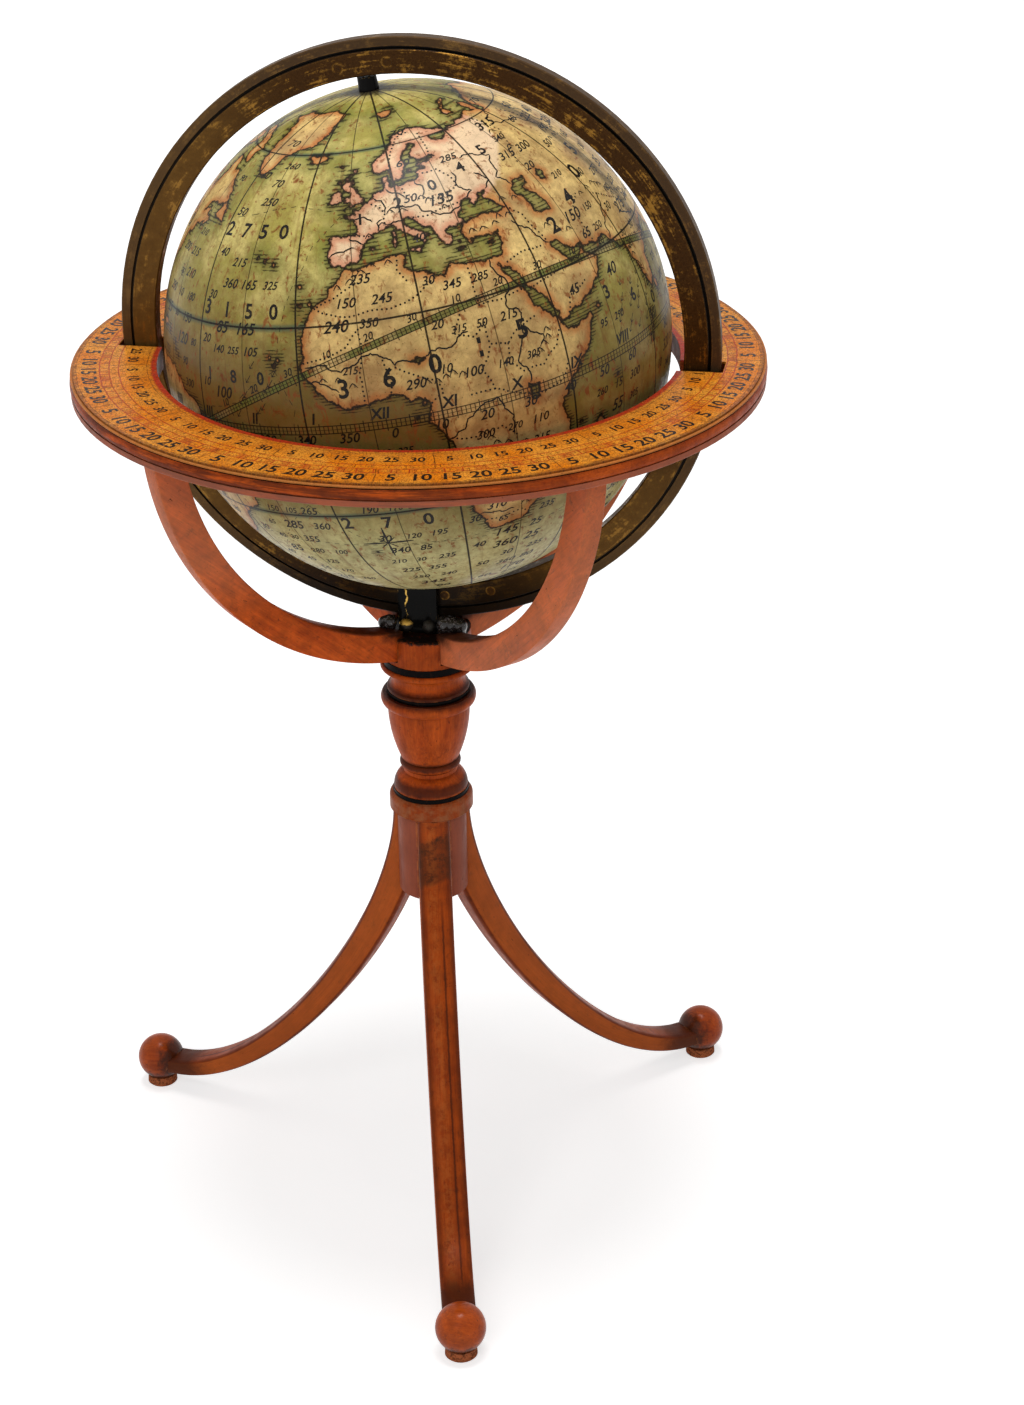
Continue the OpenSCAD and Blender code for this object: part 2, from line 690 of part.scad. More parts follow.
function leg_rings() = concat(
    [for (k = [0:LEG_STEPS])
        let (t = k / LEG_STEPS, c = curve(leg_path, t), d = unit(heading(leg_path, t)),
             n = [-d[1], d[0]], half_t = (leg_t_top + (leg_t_foot - leg_t_top) * t) / 2)
        leg_ring(c, n, leg_section(max(-half_t, (leg_root - c[0]) / n[0]), half_t))],
    [let (d = unit(heading(leg_path, 1)), n = [-d[1], d[0]])
        leg_ring(leg_path[3] + d * toe_in, n, leg_section(-leg_t_foot / 2, leg_t_foot / 2))]);

module leg(i) {
    rings = leg_rings();
    sides = len(rings[0]);
    last = len(rings) - 1;
    walls = [for (k = [0:last - 1]) for (j = [0:sides - 1])
        let (a = k * sides + j, b = k * sides + (j + 1) % sides) [a, b, b + sides, a + sides]];
    caps = [[for (j = [sides - 1:-1:0]) j], [for (j = [0:sides - 1]) last * sides + j]];
    color("chocolate") at_leg(i)
        polyhedron(points = [for (ring = rings) for (p = ring) p], faces = concat(walls, caps));
}

module leg_front() leg(0);
module leg_right() leg(1);
module leg_left() leg(2);

// A ball foot, with the socket for the end of its leg
module ball(i) {
    color("chocolate") at_leg(i) difference() {
        translate([foot_r, 0, ball_z]) sphere(r = ball_r, $fn = 64);
        translate([leg_path[3][0], 0, leg_path[3][1]]) rotate([0, leg_slope, 0]) translate([-2, 0, 0])
            rotate([90, 0, 90]) linear_extrude(2 + toe_in + glue_gap)
                polygon(leg_section(-leg_t_foot / 2, leg_t_foot / 2, glue_gap));
    }
}

module ball_front() ball(0);
module ball_right() ball(1);
module ball_left() ball(2);

module pad(i) {
    pad_r = pad_d / 2;
    edge = 0.2;
    color("saddlebrown") at_leg(i) translate([foot_r, 0, 0]) difference() {
        turned([[0, 0], [pad_r - edge, 0], [pad_r, edge], [pad_r - edge / 2, pad_h], [0, pad_h]]);
        translate([0, 0, ball_z]) sphere(r = ball_r + glue_gap, $fn = 64);
    }
}

module pad_front() pad(0);
module pad_right() pad(1);
module pad_left() pad(2);

globe_map();
globe_north_shell();
globe_south_shell();
globe_axle();
north_pole_pin();
south_pole_pin();
north_pole_collar();
south_pole_collar();
meridian_ring();
north_pivot_block();
south_pivot_block();
north_rivets();
south_rivets();
horizon_ring();
horizon_paper();
arm_front_left();
arm_front_right();
arm_back_right();
arm_back_left();
arm_dowels();
horizon_pegs();
head_boss();
ring_fork();
fork_rest_pins();
fork_wax();
vase_pillar();
leg_block();
boss_line();
bead_line();
collar_line();
leg_front();
leg_right();
leg_left();
ball_front();
ball_right();
ball_left();
pad_front();
pad_right();
pad_left();
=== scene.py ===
"""Looks of a small table globe, built round its packed solids.

Every length is in metres unless a name or comment says millimetres.
"""

import json
import math
import random

import bmesh
import bpy
import numpy as np
from mathutils import Matrix, Vector
from mathutils.kdtree import KDTree


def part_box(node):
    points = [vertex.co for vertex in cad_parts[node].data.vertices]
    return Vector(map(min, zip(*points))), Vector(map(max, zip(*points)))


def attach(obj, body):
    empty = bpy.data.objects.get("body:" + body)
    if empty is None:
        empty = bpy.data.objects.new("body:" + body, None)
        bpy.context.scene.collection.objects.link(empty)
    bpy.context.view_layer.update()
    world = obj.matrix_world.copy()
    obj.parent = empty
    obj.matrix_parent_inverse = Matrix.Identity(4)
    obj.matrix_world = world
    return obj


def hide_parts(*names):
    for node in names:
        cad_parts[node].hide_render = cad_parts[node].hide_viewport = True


bl_info = {
    "name": "Pocket globe on a tripod stand",
    "version": (1, 0, 0),
    "blender": (4, 5, 0),
    "location": "View3D > Sidebar > Pocket Globe",
    "description": "Finishes a small terrestrial globe in its brass meridian and wooden stand",
    "category": "Add Mesh",
}

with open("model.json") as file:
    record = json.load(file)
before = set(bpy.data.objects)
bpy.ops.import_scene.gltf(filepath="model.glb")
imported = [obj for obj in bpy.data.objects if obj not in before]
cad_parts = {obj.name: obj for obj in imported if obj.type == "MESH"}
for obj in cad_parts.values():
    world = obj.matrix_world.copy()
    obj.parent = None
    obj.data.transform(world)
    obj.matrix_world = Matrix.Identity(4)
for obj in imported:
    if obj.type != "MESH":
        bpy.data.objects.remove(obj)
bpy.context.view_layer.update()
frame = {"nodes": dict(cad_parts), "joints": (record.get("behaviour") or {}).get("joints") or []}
NODES = frame["nodes"]

MM = 0.001
DEGREE = math.pi / 180
JOINTS = {joint["name"]: joint for joint in frame["joints"]}
CENTRE = Vector(JOINTS["globe_spin"]["pos_m"])
POLE = Vector(JOINTS["globe_spin"]["axis"]).normalized()
RING_AXIS = Vector(JOINTS["meridian_turn"]["axis"]).normalized()
COLUMN = Vector((CENTRE.x, CENTRE.y, 0))
HEAD_TURN = math.atan2(RING_AXIS.x, -RING_AXIS.y)
PAPER_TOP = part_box("horizon_paper")[1].z
GLOBE_R = (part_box("globe_map")[1].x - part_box("globe_map")[0].x) / 2
RIM_WIDTH = 1.3 * MM
RING_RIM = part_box("meridian_ring")[1].z - CENTRE.z - RIM_WIDTH

# Lines of the map, set down as in a school atlas: longitude and latitude in turn.
# The old world runs from the north cape round Asia, Africa and Europe.
OLD_WORLD = [
    25.8, 71.1, 31, 70.3, 41, 67.8, 41.2, 66.6, 38, 66.1, 33, 66.6, 34.5, 64.5, 37.5, 64, 40, 64.6,
    40.5, 66.3, 43.5, 66.3, 44.5, 68, 46.5, 66.9, 52, 68.4, 60, 68.7, 61, 69.8, 65, 69, 68.5, 68.3,
    67, 71, 70, 73, 73, 71.5, 72.7, 69, 72, 66.6, 75, 67.5, 75, 72, 81, 73.6, 87, 75, 95, 76,
    104, 77.6, 112, 76.5, 113.5, 73.7, 120, 73, 128, 72.5, 131, 71, 140, 72.5, 150, 71.3, 160, 69.8,
    170, 70, 180, 68.8, 190, 66, 183, 64.5, 178, 62.5, 170, 60, 164, 59.8, 163, 56, 160, 53,
    156.8, 51, 155.7, 54, 157, 58, 163, 61.7, 155, 59.3, 143, 59.3, 135.5, 54.7, 141, 52.5,
    140.3, 48, 136, 44, 132, 43, 129.5, 41.5, 127.5, 39.7, 129.4, 37, 129, 35.2, 126.4, 34.4,
    126.6, 37.5, 124.7, 39.6, 121.5, 38.9, 122, 40.6, 119, 39.2, 117.7, 38.6, 119, 37.2,
    122.5, 37.2, 119.3, 35, 121, 32.5, 121.9, 30.9, 121.5, 28.5, 119.5, 25.5, 116.5, 23,
    113.5, 22.2, 110.5, 21.2, 108, 21.5, 106, 19.5, 108.8, 15.3, 109.3, 12.5, 107, 10.4, 105, 8.7,
    104.8, 10.2, 102.5, 12, 100.9, 13.4, 99.2, 9.8, 100.4, 7, 103.4, 4.5, 104.2, 1.4, 101, 3,
    100.2, 6, 98.3, 8.5, 98.6, 12, 97.6, 16.5, 95.4, 15.8, 94.3, 16.3, 94.4, 18.8, 91.5, 22.6,
    88.8, 21.7, 86.5, 19.9, 82.3, 16.7, 80.2, 15.5, 80.2, 13, 79.8, 10.4, 78.2, 8.9, 77.5, 8.1,
    76.2, 10, 74.8, 13, 73.4, 16.5, 72.8, 19, 72.6, 21.4, 70.5, 20.8, 69, 22.3, 67.5, 23.9,
    66.5, 25.2, 61.6, 25.1, 57.5, 25.7, 56.8, 27, 54.5, 26.6, 51.5, 27.9, 50, 30, 48, 29.8,
    50, 26.7, 51.5, 24.3, 54, 24.1, 56.3, 26.2, 56.5, 24.5, 59.8, 22.4, 57.8, 19, 55.3, 17.5,
    52.2, 15.6, 49, 14.2, 45, 12.8, 43.4, 12.7, 42.7, 15.6, 40.8, 19.5, 39, 21.3, 37.2, 24.5,
    35.1, 28, 34.2, 28, 32.6, 29.8, 34, 26.5, 35.5, 23.8, 37, 21.3, 37.3, 19.5, 38.9, 17.5,
    41, 14.7, 43.2, 11.6, 44.5, 10.5, 48, 11.1, 51.2, 11.9, 51.2, 10.5, 49.5, 7, 47.8, 4.2, 44, 1,
    41.5, -1.8, 39.3, -4.5, 39.2, -7.5, 40.5, -11, 40.5, -15, 37, -17.6, 34.8, -19.8, 35.3, -21.5,
    35.4, -24, 32.9, -26, 32.5, -28.5, 29, -32.8, 25.7, -33.9, 20, -34.8, 18.4, -33.8, 17.5, -31,
    15, -27, 14.5, -23, 13, -20, 11.9, -16, 13.7, -12, 13.3, -9, 12.3, -6, 11, -3.8, 8.9, -1,
    9.3, 0.5, 9.7, 3.2, 8.8, 4.5, 6, 4.3, 5, 5.7, 2.5, 6.3, 0, 5.6, -3, 5, -7.7, 4.4, -10, 6,
    -13, 8, -14.5, 10, -16.7, 12.5, -17.4, 14.7, -16.3, 17, -16.8, 19.5, -16.2, 22, -14.8, 25.5,
    -12.9, 27.9, -9.8, 29.8, -9.5, 31.8, -6.3, 34.5, -5.4, 35.8, -2.2, 35.1, 0, 35.9, 5, 36.8,
    9.7, 37.3, 11, 36.9, 10, 34.3, 11.2, 33.2, 15, 32.4, 15.5, 31.7, 19, 30.3, 20, 31.2, 21.5, 32.9,
    23, 32.4, 25, 31.6, 29.5, 31.1, 32.3, 31.3, 34.2, 31.3, 35, 32.8, 35.9, 35, 36.1, 36.8,
    34, 36.3, 30.6, 36.8, 28, 36.7, 27.2, 37.5, 26.5, 39.3, 29, 41, 31.5, 41.2, 35, 42, 38.5, 41,
    41.5, 41.5, 39, 44, 37, 45.3, 38, 46.5, 39, 47.2, 36, 46.6, 35, 45, 33.5, 44.5, 32.5, 45.3,
    33.5, 46.1, 31.5, 46.6, 29.8, 45.2, 28.6, 43.8, 27.7, 42.5, 28.8, 41.2, 26, 40.7, 24, 40.9,
    22.8, 40.4, 22.9, 39.8, 24.1, 38, 23, 36.5, 22.3, 36.9, 21.7, 37, 21.2, 38, 20.3, 39.3,
    19.4, 41, 19.3, 42, 16.5, 43.3, 14.8, 45.1, 13.6, 45.7, 12.3, 45.4, 12.5, 44.2, 14, 42.5,
    16.1, 41.7, 18.4, 40.2, 17, 40.4, 16.6, 39.6, 17.1, 39, 16, 37.9, 15.8, 39.8, 14.2, 40.8,
    12.2, 41.7, 10.4, 43, 8.8, 44.4, 7, 43.6, 5, 43.4, 3.1, 43.1, 3.2, 42, 0.8, 41, -0.3, 39.4,
    -0.2, 38.4, -2.1, 36.8, -4.6, 36.6, -5.6, 36.1, -6.5, 36.9, -8.9, 37, -8.8, 38.5, -9.4, 38.8,
    -8.7, 41.2, -9.2, 43.1, -7.7, 43.7, -4, 43.4, -1.8, 43.4, -1.1, 45.5, -2.2, 47.2, -4.6, 47.9,
    -4.7, 48.5, -1.6, 48.7, -1.9, 49.7, 0.2, 49.5, 1.6, 50.9, 4, 51.9, 4.8, 53, 8.2, 53.6, 8.2, 57,
    10.6, 57.7, 10.3, 56.2, 10.8, 54.2, 14, 54, 18.5, 54.7, 19.7, 54.5, 21, 55.5, 21.3, 57.3,
    24, 57.2, 23.5, 59, 28, 59.6, 30, 59.9, 28, 60.5, 23, 59.9, 21.3, 61, 21.5, 63, 25.3, 65,
    24, 65.8, 22, 65.5, 21, 64, 17.5, 62, 17.2, 60.6, 18.8, 59.7, 16.6, 58, 16, 56.3, 14.2, 55.5,
    12.8, 55.6, 11.3, 58.8, 10.5, 59.3, 8, 58.1, 5.6, 58.8, 5, 61, 7, 63, 10.5, 64.3, 13, 66.3,
    15.5, 68.4, 19.5, 70,
]
# The new world runs from the north-west cape east and south, and back up its western side
NEW_WORLD = [
    -168, 65.6, -162, 66.5, -166, 68.5, -156.5, 71.3, -141, 69.6, -128, 70, -115, 68.5, -108, 68,
    -95, 68, -94, 72, -90, 69, -85, 69.5, -82, 67, -87, 64.5, -94, 61, -94.6, 58.8, -92, 57,
    -85, 55.3, -82, 52.8, -79.8, 51.3, -79, 54, -76.8, 57, -78.3, 59, -77.5, 62.4, -72, 61.7,
    -69.5, 59, -65, 60, -62, 57, -58, 54.8, -55.8, 52, -60, 50.2, -66, 50.1, -70, 47, -65, 48.8,
    -65, 47, -61, 45.8, -66, 43.6, -65, 45.2, -70, 43.6, -70.6, 41.6, -74, 40.6, -75.5, 38,
    -75.6, 35.3, -78.5, 33.8, -81, 31.8, -80.2, 27, -80.5, 25.2, -81.8, 26.2, -82.8, 28.5,
    -84.2, 30, -88.5, 30.4, -89.4, 29.2, -94, 29.5, -97.3, 27.5, -97.6, 22.5, -95.8, 18.8,
    -92, 18.6, -90.5, 20.7, -87, 21.4, -88, 18.3, -88.8, 15.9, -83.3, 15, -83.7, 11, -81, 8.9,
    -79.5, 9.5, -77, 8.7, -75.5, 10.6, -72, 12, -71.3, 11, -68.3, 11, -64, 10.4, -61.9, 10.6,
    -60, 8.5, -57, 6, -52, 4.8, -50, 1, -50, -1, -46, -1.2, -41.5, -2.9, -38.5, -3.8, -35.3, -5.4,
    -34.9, -8, -37.2, -11, -39, -13.5, -39.2, -17.6, -41, -22, -44.6, -23.2, -48.6, -26, -50, -29.5,
    -53.5, -33.8, -56, -34.9, -58.4, -34, -57, -36.4, -58.5, -38.5, -62.2, -39.2, -65, -41,
    -64, -42.7, -67.4, -46.2, -66, -48, -69, -50.5, -68.3, -52.5, -65.2, -54.8, -70, -55.4,
    -74.5, -52, -75.5, -48, -73.5, -42, -73.5, -37, -71.5, -32, -70.3, -24, -70.4, -18.4,
    -76.2, -14, -79.5, -8, -81.3, -5, -80, -2.8, -80.5, 0, -78.7, 1.8, -77.5, 4, -77.8, 7.2,
    -80, 7.5, -83, 8.4, -85.8, 10.2, -87.6, 13, -92, 14.5, -95, 16, -99.5, 16.7, -105.5, 20.3,
    -106.5, 23.3, -109.5, 26.5, -113, 31, -114.8, 31.5, -112.5, 28.5, -109.5, 23.2, -112, 25.5,
    -115, 29, -117, 32.5, -120.6, 34.6, -122.5, 37.7, -124.3, 40.5, -124, 46, -124.7, 48.4,
    -128, 52, -134, 57, -140, 59.8, -147, 60.8, -152, 59.5, -158, 56.5, -164, 54.7, -158, 58.5,
    -162, 59, -165, 61.5, -161, 64.3, -166, 64.5,
]
ISLANDS = [
    [-44, 59.9, -51, 62.5, -53.5, 67, -54.5, 71, -60, 76, -71, 78, -60, 82, -30, 83.3, -15, 81,
     -19, 77, -20, 73, -24, 70, -33, 68, -40, 65],
    [-5.6, 50.1, -3.5, 50.4, 1.2, 51.2, 1.6, 52.7, 0.2, 53, -0.2, 54.2, -1.8, 55.6, -3, 56,
     -1.9, 57.6, -4, 57.7, -3.1, 58.6, -5, 58.6, -6, 56.5, -4.8, 55, -3, 54.4, -3.1, 53.4,
     -4.6, 53.2, -4.9, 51.8, -3, 51.4],
    [-6.1, 52.3, -6, 53.5, -5.6, 54.5, -7, 55.3, -8.6, 54.4, -10, 54, -9.5, 52.8, -10.3, 52,
     -9, 51.5],
    [-22.5, 64, -18.7, 63.4, -14, 64.8, -14.8, 66.2, -18, 66, -22.5, 66.4, -24, 65.4, -22, 64.6],
    [14, 76.8, 22, 78.3, 26, 80.2, 18, 80, 11, 79.4],
    [52, 71, 57, 70.7, 56, 73.3, 61, 75.5, 68, 76.8, 60, 76.2, 54, 74, 51.8, 72],
    [-59.3, 47.7, -55.5, 47, -53, 46.8, -53.3, 48.5, -55.5, 51.5, -58, 49.5],
    [-65, 61.9, -66, 65, -61.5, 66.6, -68, 70, -78, 72.5, -88, 73.5, -84, 70, -73, 68, -73, 64.5,
     -70, 62.6],
    [-84.8, 21.9, -82.5, 23.1, -79, 22.6, -74.2, 20.2, -77.5, 19.9, -78.5, 21, -82, 22.4],
    [-74.4, 18.4, -72.5, 19.9, -69, 19.4, -68.5, 18.4, -71.4, 17.8],
    [49.3, -12, 50.5, -15.8, 49.6, -17, 48, -22, 47, -25, 44.8, -25.3, 43.4, -22.8, 44.3, -20,
     44, -17.2, 46.3, -15.6, 48, -13.5],
    [80, 9.7, 81.3, 8.4, 81.8, 7, 80.6, 6, 79.8, 7.5],
    [95.4, 5.6, 98.5, 3.6, 103.5, -0.8, 106, -3, 105.7, -5.8, 102, -4, 98.7, 1.7],
    [105.3, -6.8, 106.8, -6, 110.8, -6.5, 114.4, -7.8, 114.3, -8.7, 108.5, -7.8],
    [109, 1.6, 111.2, 2.5, 114, 4.6, 116.9, 7, 119, 5.2, 117.8, 3, 118.8, 1, 116.5, -1.5, 116, -3.9,
     112, -3.4, 110, -1.5],
    [119.7, 0.6, 123, 0.9, 125, 1.6, 124.4, 0.4, 120.6, 0.4, 121.5, -1, 123.3, -0.9, 121.8, -2,
     123, -4.2, 122, -4.7, 120.9, -3, 120.3, -5.5, 119.5, -5.4, 118.9, -2.8],
    [131, -0.9, 134, -0.8, 135, -3.3, 138, -1.7, 144, -3.9, 147.5, -6, 150.5, -10.4, 147, -9.6,
     143.5, -8.6, 141, -9.1, 138.5, -8, 138, -5.5, 133, -4, 133.8, -2.4, 131.5, -1.8],
    [120.5, 18.4, 122.2, 18.4, 121.6, 15.8, 123.9, 13, 121, 13.7, 120, 15.8],
    [122, 7, 123.5, 8.6, 125.5, 9.7, 126.5, 7.5, 125.5, 5.7, 124, 6.8],
    [141, 41.4, 142, 39.6, 140.9, 38, 140.6, 35.7, 137, 34.6, 135.6, 33.5, 132.5, 34.2, 131, 34.3,
     135.8, 35.6, 138.5, 37.4, 140, 39.5],
    [140, 42, 141.7, 45.4, 145.3, 43.4, 143.2, 42, 141, 42.5],
    [142, 54, 143.2, 52, 143.3, 49, 142.5, 46.2, 142, 49.5],
    [142.4, -10.8, 143.6, -14.2, 145.3, -15.5, 146.5, -19, 149.5, -22.2, 153.2, -26, 153.4, -29,
     151.8, -33, 150, -37.3, 146.4, -39, 144.5, -38.2, 140.5, -38, 138.3, -35.5, 137.8, -33,
     135.5, -34.8, 131.5, -31.5, 124, -33.2, 118, -35, 115.2, -34.2, 115.7, -31.8, 113.4, -26,
     113.9, -22, 119, -20, 122.2, -18, 125, -14.6, 129.3, -14.9, 131, -12.2, 135.5, -12.2, 136, -15,
     139.5, -17.5, 141, -16, 141.7, -12.5],
    [144.8, -40.8, 148.2, -40.9, 147.8, -43, 146.2, -43.5],
    [172.8, -34.5, 175.8, -37, 178.4, -37.7, 176.9, -39.5, 175, -41.5, 173.9, -39.3, 174.7, -37.2],
    [172.7, -40.6, 174.3, -41.7, 172.8, -43.8, 170.7, -46, 168.4, -46.6, 166.6, -45.9, 169, -43.8],
    [12.5, 38, 15.6, 38.2, 15.1, 36.7, 12.7, 37.6],
    [8.2, 41, 9.6, 41, 9.5, 39.1, 8.5, 39],
    [8.7, 42.6, 9.4, 43, 9.4, 41.6, 8.8, 41.6],
    [23.6, 35.6, 26.2, 35.3, 24.8, 34.8],
    [32.4, 35, 34.5, 35.7, 33.6, 34.6],
    [11, 55.7, 12.6, 56, 12.2, 55, 11.2, 55.2],
]
LAKES = [
    [47, 45, 49, 46.6, 53, 46.8, 53, 45, 51, 44.5, 52.5, 42, 53.8, 40, 54, 37, 50.5, 36.9, 49, 38,
     49.3, 40, 47.6, 43],
    [58.3, 45.5, 60, 46.5, 61.5, 45.5, 60.3, 43.7, 58.7, 44],
    [-92, 46.7, -88, 48.8, -84.7, 46.6, -87, 46.3],
    [-88, 42, -86.3, 42, -84.8, 45.8, -80.2, 44.6, -84, 46.2, -87.4, 45.6],
    [7.6, 13.2, 9, 13.9, 10.6, 13.5, 9, 12.7],
    [31.5, 2, 34, 1, 33.5, -2, 31.8, -2],
]
# Small islands: longitude, latitude, radius in millimetres
ISLETS = [
    -16.5, 28.3, 0.3, -14.2, 28.6, 0.25, -17.8, 28.7, 0.2, -17, 32.7, 0.25, -25.5, 37.8, 0.25,
    -28.3, 38.6, 0.3, -31, 39.4, 0.2, -24, 15.2, 0.3, -23, 16.6, 0.25, -25, 17, 0.22,
    8.7, 3.5, 0.25, 6.7, 0.3, 0.2, -5.7, -16, 0.22, -14.3, -8, 0.2, 55.5, -21.1, 0.28,
    57.6, -20.2, 0.25, 43.4, -11.8, 0.22, 55.5, -4.6, 0.22, 54, 12.4, 0.35, 73, 4, 0.15,
    73.2, 2, 0.15, 73, 0, 0.15, 93, 12, 0.3, 93, 7.5, 0.22, 2.9, 39.6, 0.3, 25.2, 37, 0.15,
    28, 36.2, 0.22, -1.3, 60.2, 0.22, -7, 62, 0.22, -3, 59, 0.2, -6.9, 57.6, 0.25, 18.6, 57.5, 0.25,
    22.5, 58.5, 0.28, -61, 14.5, 0.2, -61.5, 16.2, 0.22, -59.5, 13.2, 0.18, -66.3, 18.2, 0.3,
    -77.4, 18.1, 0.35, -77.5, 24.5, 0.25, -75, 23, 0.2, -64.7, 32.3, 0.2, -60, -51.7, 0.5,
    -37, -54.3, 0.35, -12.3, -37.1, 0.2, 70, -49.3, 0.45, -155.6, 19.6, 0.35, -149.5, -17.6, 0.28,
    178, -17.8, 0.35, 165.5, -21.4, 0.45, 160, -9.5, 0.4, 152, -5, 0.5, 127.8, 0.8, 0.32,
    129.5, -3.2, 0.4, 125, -9, 0.45, 120.5, -8.6, 0.35, 123, 10.5, 0.35,
]
EUROPE = [
    -12, 35.9, -5.6, 36, 3, 38, 9, 38.2, 12, 36.2, 20, 34.5, 26.6, 34.5, 26.2, 39.5, 28.9, 41.2,
    34, 43.8, 38, 45.6, 42, 47, 46.5, 49, 50, 52, 56, 56, 60, 61, 62, 65, 60, 68.5, 50, 73, 20, 74,
    -2, 63, -12, 58,
]
RIVERS = [
    [30.8, 31.3, 31.2, 28, 33, 25.5, 32.6, 23, 31, 20, 33.6, 18.5, 33, 15, 32, 11, 30.5, 8, 32, 5,
     32, 2],
    [33, 15, 35.5, 12.5, 37.5, 11.5, 36.5, 9.5],
    [-16.3, 14.5, -13, 15, -10, 13.5, -6, 13.8, -3, 16, 1, 15.5, 4, 13, 7.6, 13.2],
    [10.6, 13.5, 14, 15, 18, 15.5, 21, 17],
    [-16.2, 11.5, -12, 10.5, -9, 8.5],
    [48, 46, 45, 49, 47, 52, 49, 55, 44, 56.5, 38, 57],
    [39.3, 47.2, 42, 49, 39, 52],
    [31.8, 46.6, 35, 48, 31.5, 50.5, 32, 54],
    [29.6, 45.2, 26, 44, 22, 44.8, 19, 46, 17.5, 48, 12, 48.8, 9, 48.3],
    [19, 54.3, 21, 52.5, 20, 50],
    [4.5, 52, 7, 51, 8, 49, 7.6, 47.6],
    [9, 53.8, 12, 52.3, 14.5, 50.5],
    [-2, 47.3, 1, 47.6, 3.5, 46],
    [4.8, 43.5, 4.8, 45.5, 6.5, 46.3],
    [-9, 38.8, -5, 39.8, -2, 40.4],
    [0.8, 40.8, -1, 41.8, -3.5, 42.8],
    [12.3, 45, 9.5, 45.1, 7.7, 44.8],
    [72, 66.4, 66, 64, 69, 61, 76, 60.5, 83, 57, 84, 53],
    [82, 71, 86, 68, 88, 64, 91, 59, 93, 54],
    [127, 72, 124, 66, 129, 62, 118, 60, 107, 55],
    [48, 30, 45.5, 32.5, 42.5, 36, 41, 38],
    [67.5, 24, 69, 27.5, 72, 31, 75, 34],
    [89, 22.5, 87.5, 25, 82, 26, 78.5, 29.5],
    [36.5, -18.5, 33, -16.5, 28, -17, 24, -15],
    [12.5, -6, 16, -4.5, 19, -1, 24, 1, 26, -3, 26.5, -9],
    [16.5, -28.6, 20, -29, 25, -29.5],
    [106, 10.5, 105, 15, 101, 20, 99, 27],
    [118, 38, 114, 35, 110, 36, 110, 40, 105, 37, 98, 34.5],
    [-89.4, 29.4, -91, 32, -89.5, 37, -91, 41, -94.5, 46],
    [-50, 0, -55, -2, -60, -3.2, -66, -3, -73, -4.5, -77, -8],
]
BORDERS = [
    [-1.8, 43.3, 3.1, 42.4],
    [2.5, 51, 6, 49.5, 7.5, 47.6, 6.8, 46, 7.3, 43.8],
    [14, 54, 15, 51, 18.5, 49.5],
    [21, 56, 28, 56, 31, 53, 31, 50, 24, 48.5],
    [18.5, 49.5, 24, 48.5, 27, 46.5],
    [14, 45.3, 19, 44.8, 23, 45.6, 29, 46],
    [11.5, 59, 12, 61, 14, 64.5, 18, 68.5, 25, 69.5],
    [28, 60.5, 29, 64, 29, 69],
    [-1.6, 35, -3, 32, -8, 29.5, -13, 27.5],
    [8.5, 37, 8, 34, 10, 31],
    [-13, 27.5, -5, 25, 5, 25.5, 12, 27.5, 17, 30.5],
    [25, 31.6, 25, 28, 25, 22],
    [25, 22, 30, 21.8, 36, 22.5],
    [-16.5, 15.5, -11, 16.5, -6, 18.5, -3, 22],
    [-3, 22, -3, 16, -4, 12, -4, 5],
    [1.5, 14.5, 2.5, 11, 2, 6.5],
    [4, 12.5, 8, 10, 12, 8, 13, 5, 10, 3],
    [20, 21, 18, 17, 22, 15.5, 25, 18],
    [25, 18, 25, 13, 29, 12, 31, 14, 37, 16],
    [29, 12, 28, 8, 31, 5, 36, 5],
    [36, 5, 40, 8, 42, 12],
    [42, 4, 40, 0, 36, -1, 30, 0, 24, 3, 18, 3],
    [24, 3, 22, 8, 25, 13],
    [13, -6, 18, -7, 24, -6, 27, -9],
    [14, -17.5, 19, -18, 24, -19],
    [33, -26, 29, -24, 27, -20, 30, -16, 35, -16],
    [18, -31, 22, -31.5, 27, -30.5, 29.5, -32.4],
    [42, 41.6, 45, 38.5, 46, 34.5, 47.5, 31],
    [61.5, 25.2, 61, 30, 62, 35, 67, 37.5],
    [35, 29.3, 40, 30.5, 46, 30],
    [38, 22, 44, 23, 50, 23.5],
    [45, 13, 47, 17, 53, 19],
    [72, 35, 78, 32, 84, 28.5, 92, 27.8, 97, 28, 98, 24, 101, 21.5, 106, 22.5],
    [72, 22, 77, 21.5, 82, 20.5, 86, 20.3],
    [-69, 1, -70, -6, -66, -11, -60, -14, -58, -20, -55, -25],
    [60, 66, 64, 60, 60, 55, 56, 50],
    [88, 49.5, 85, 57, 80, 65],
]
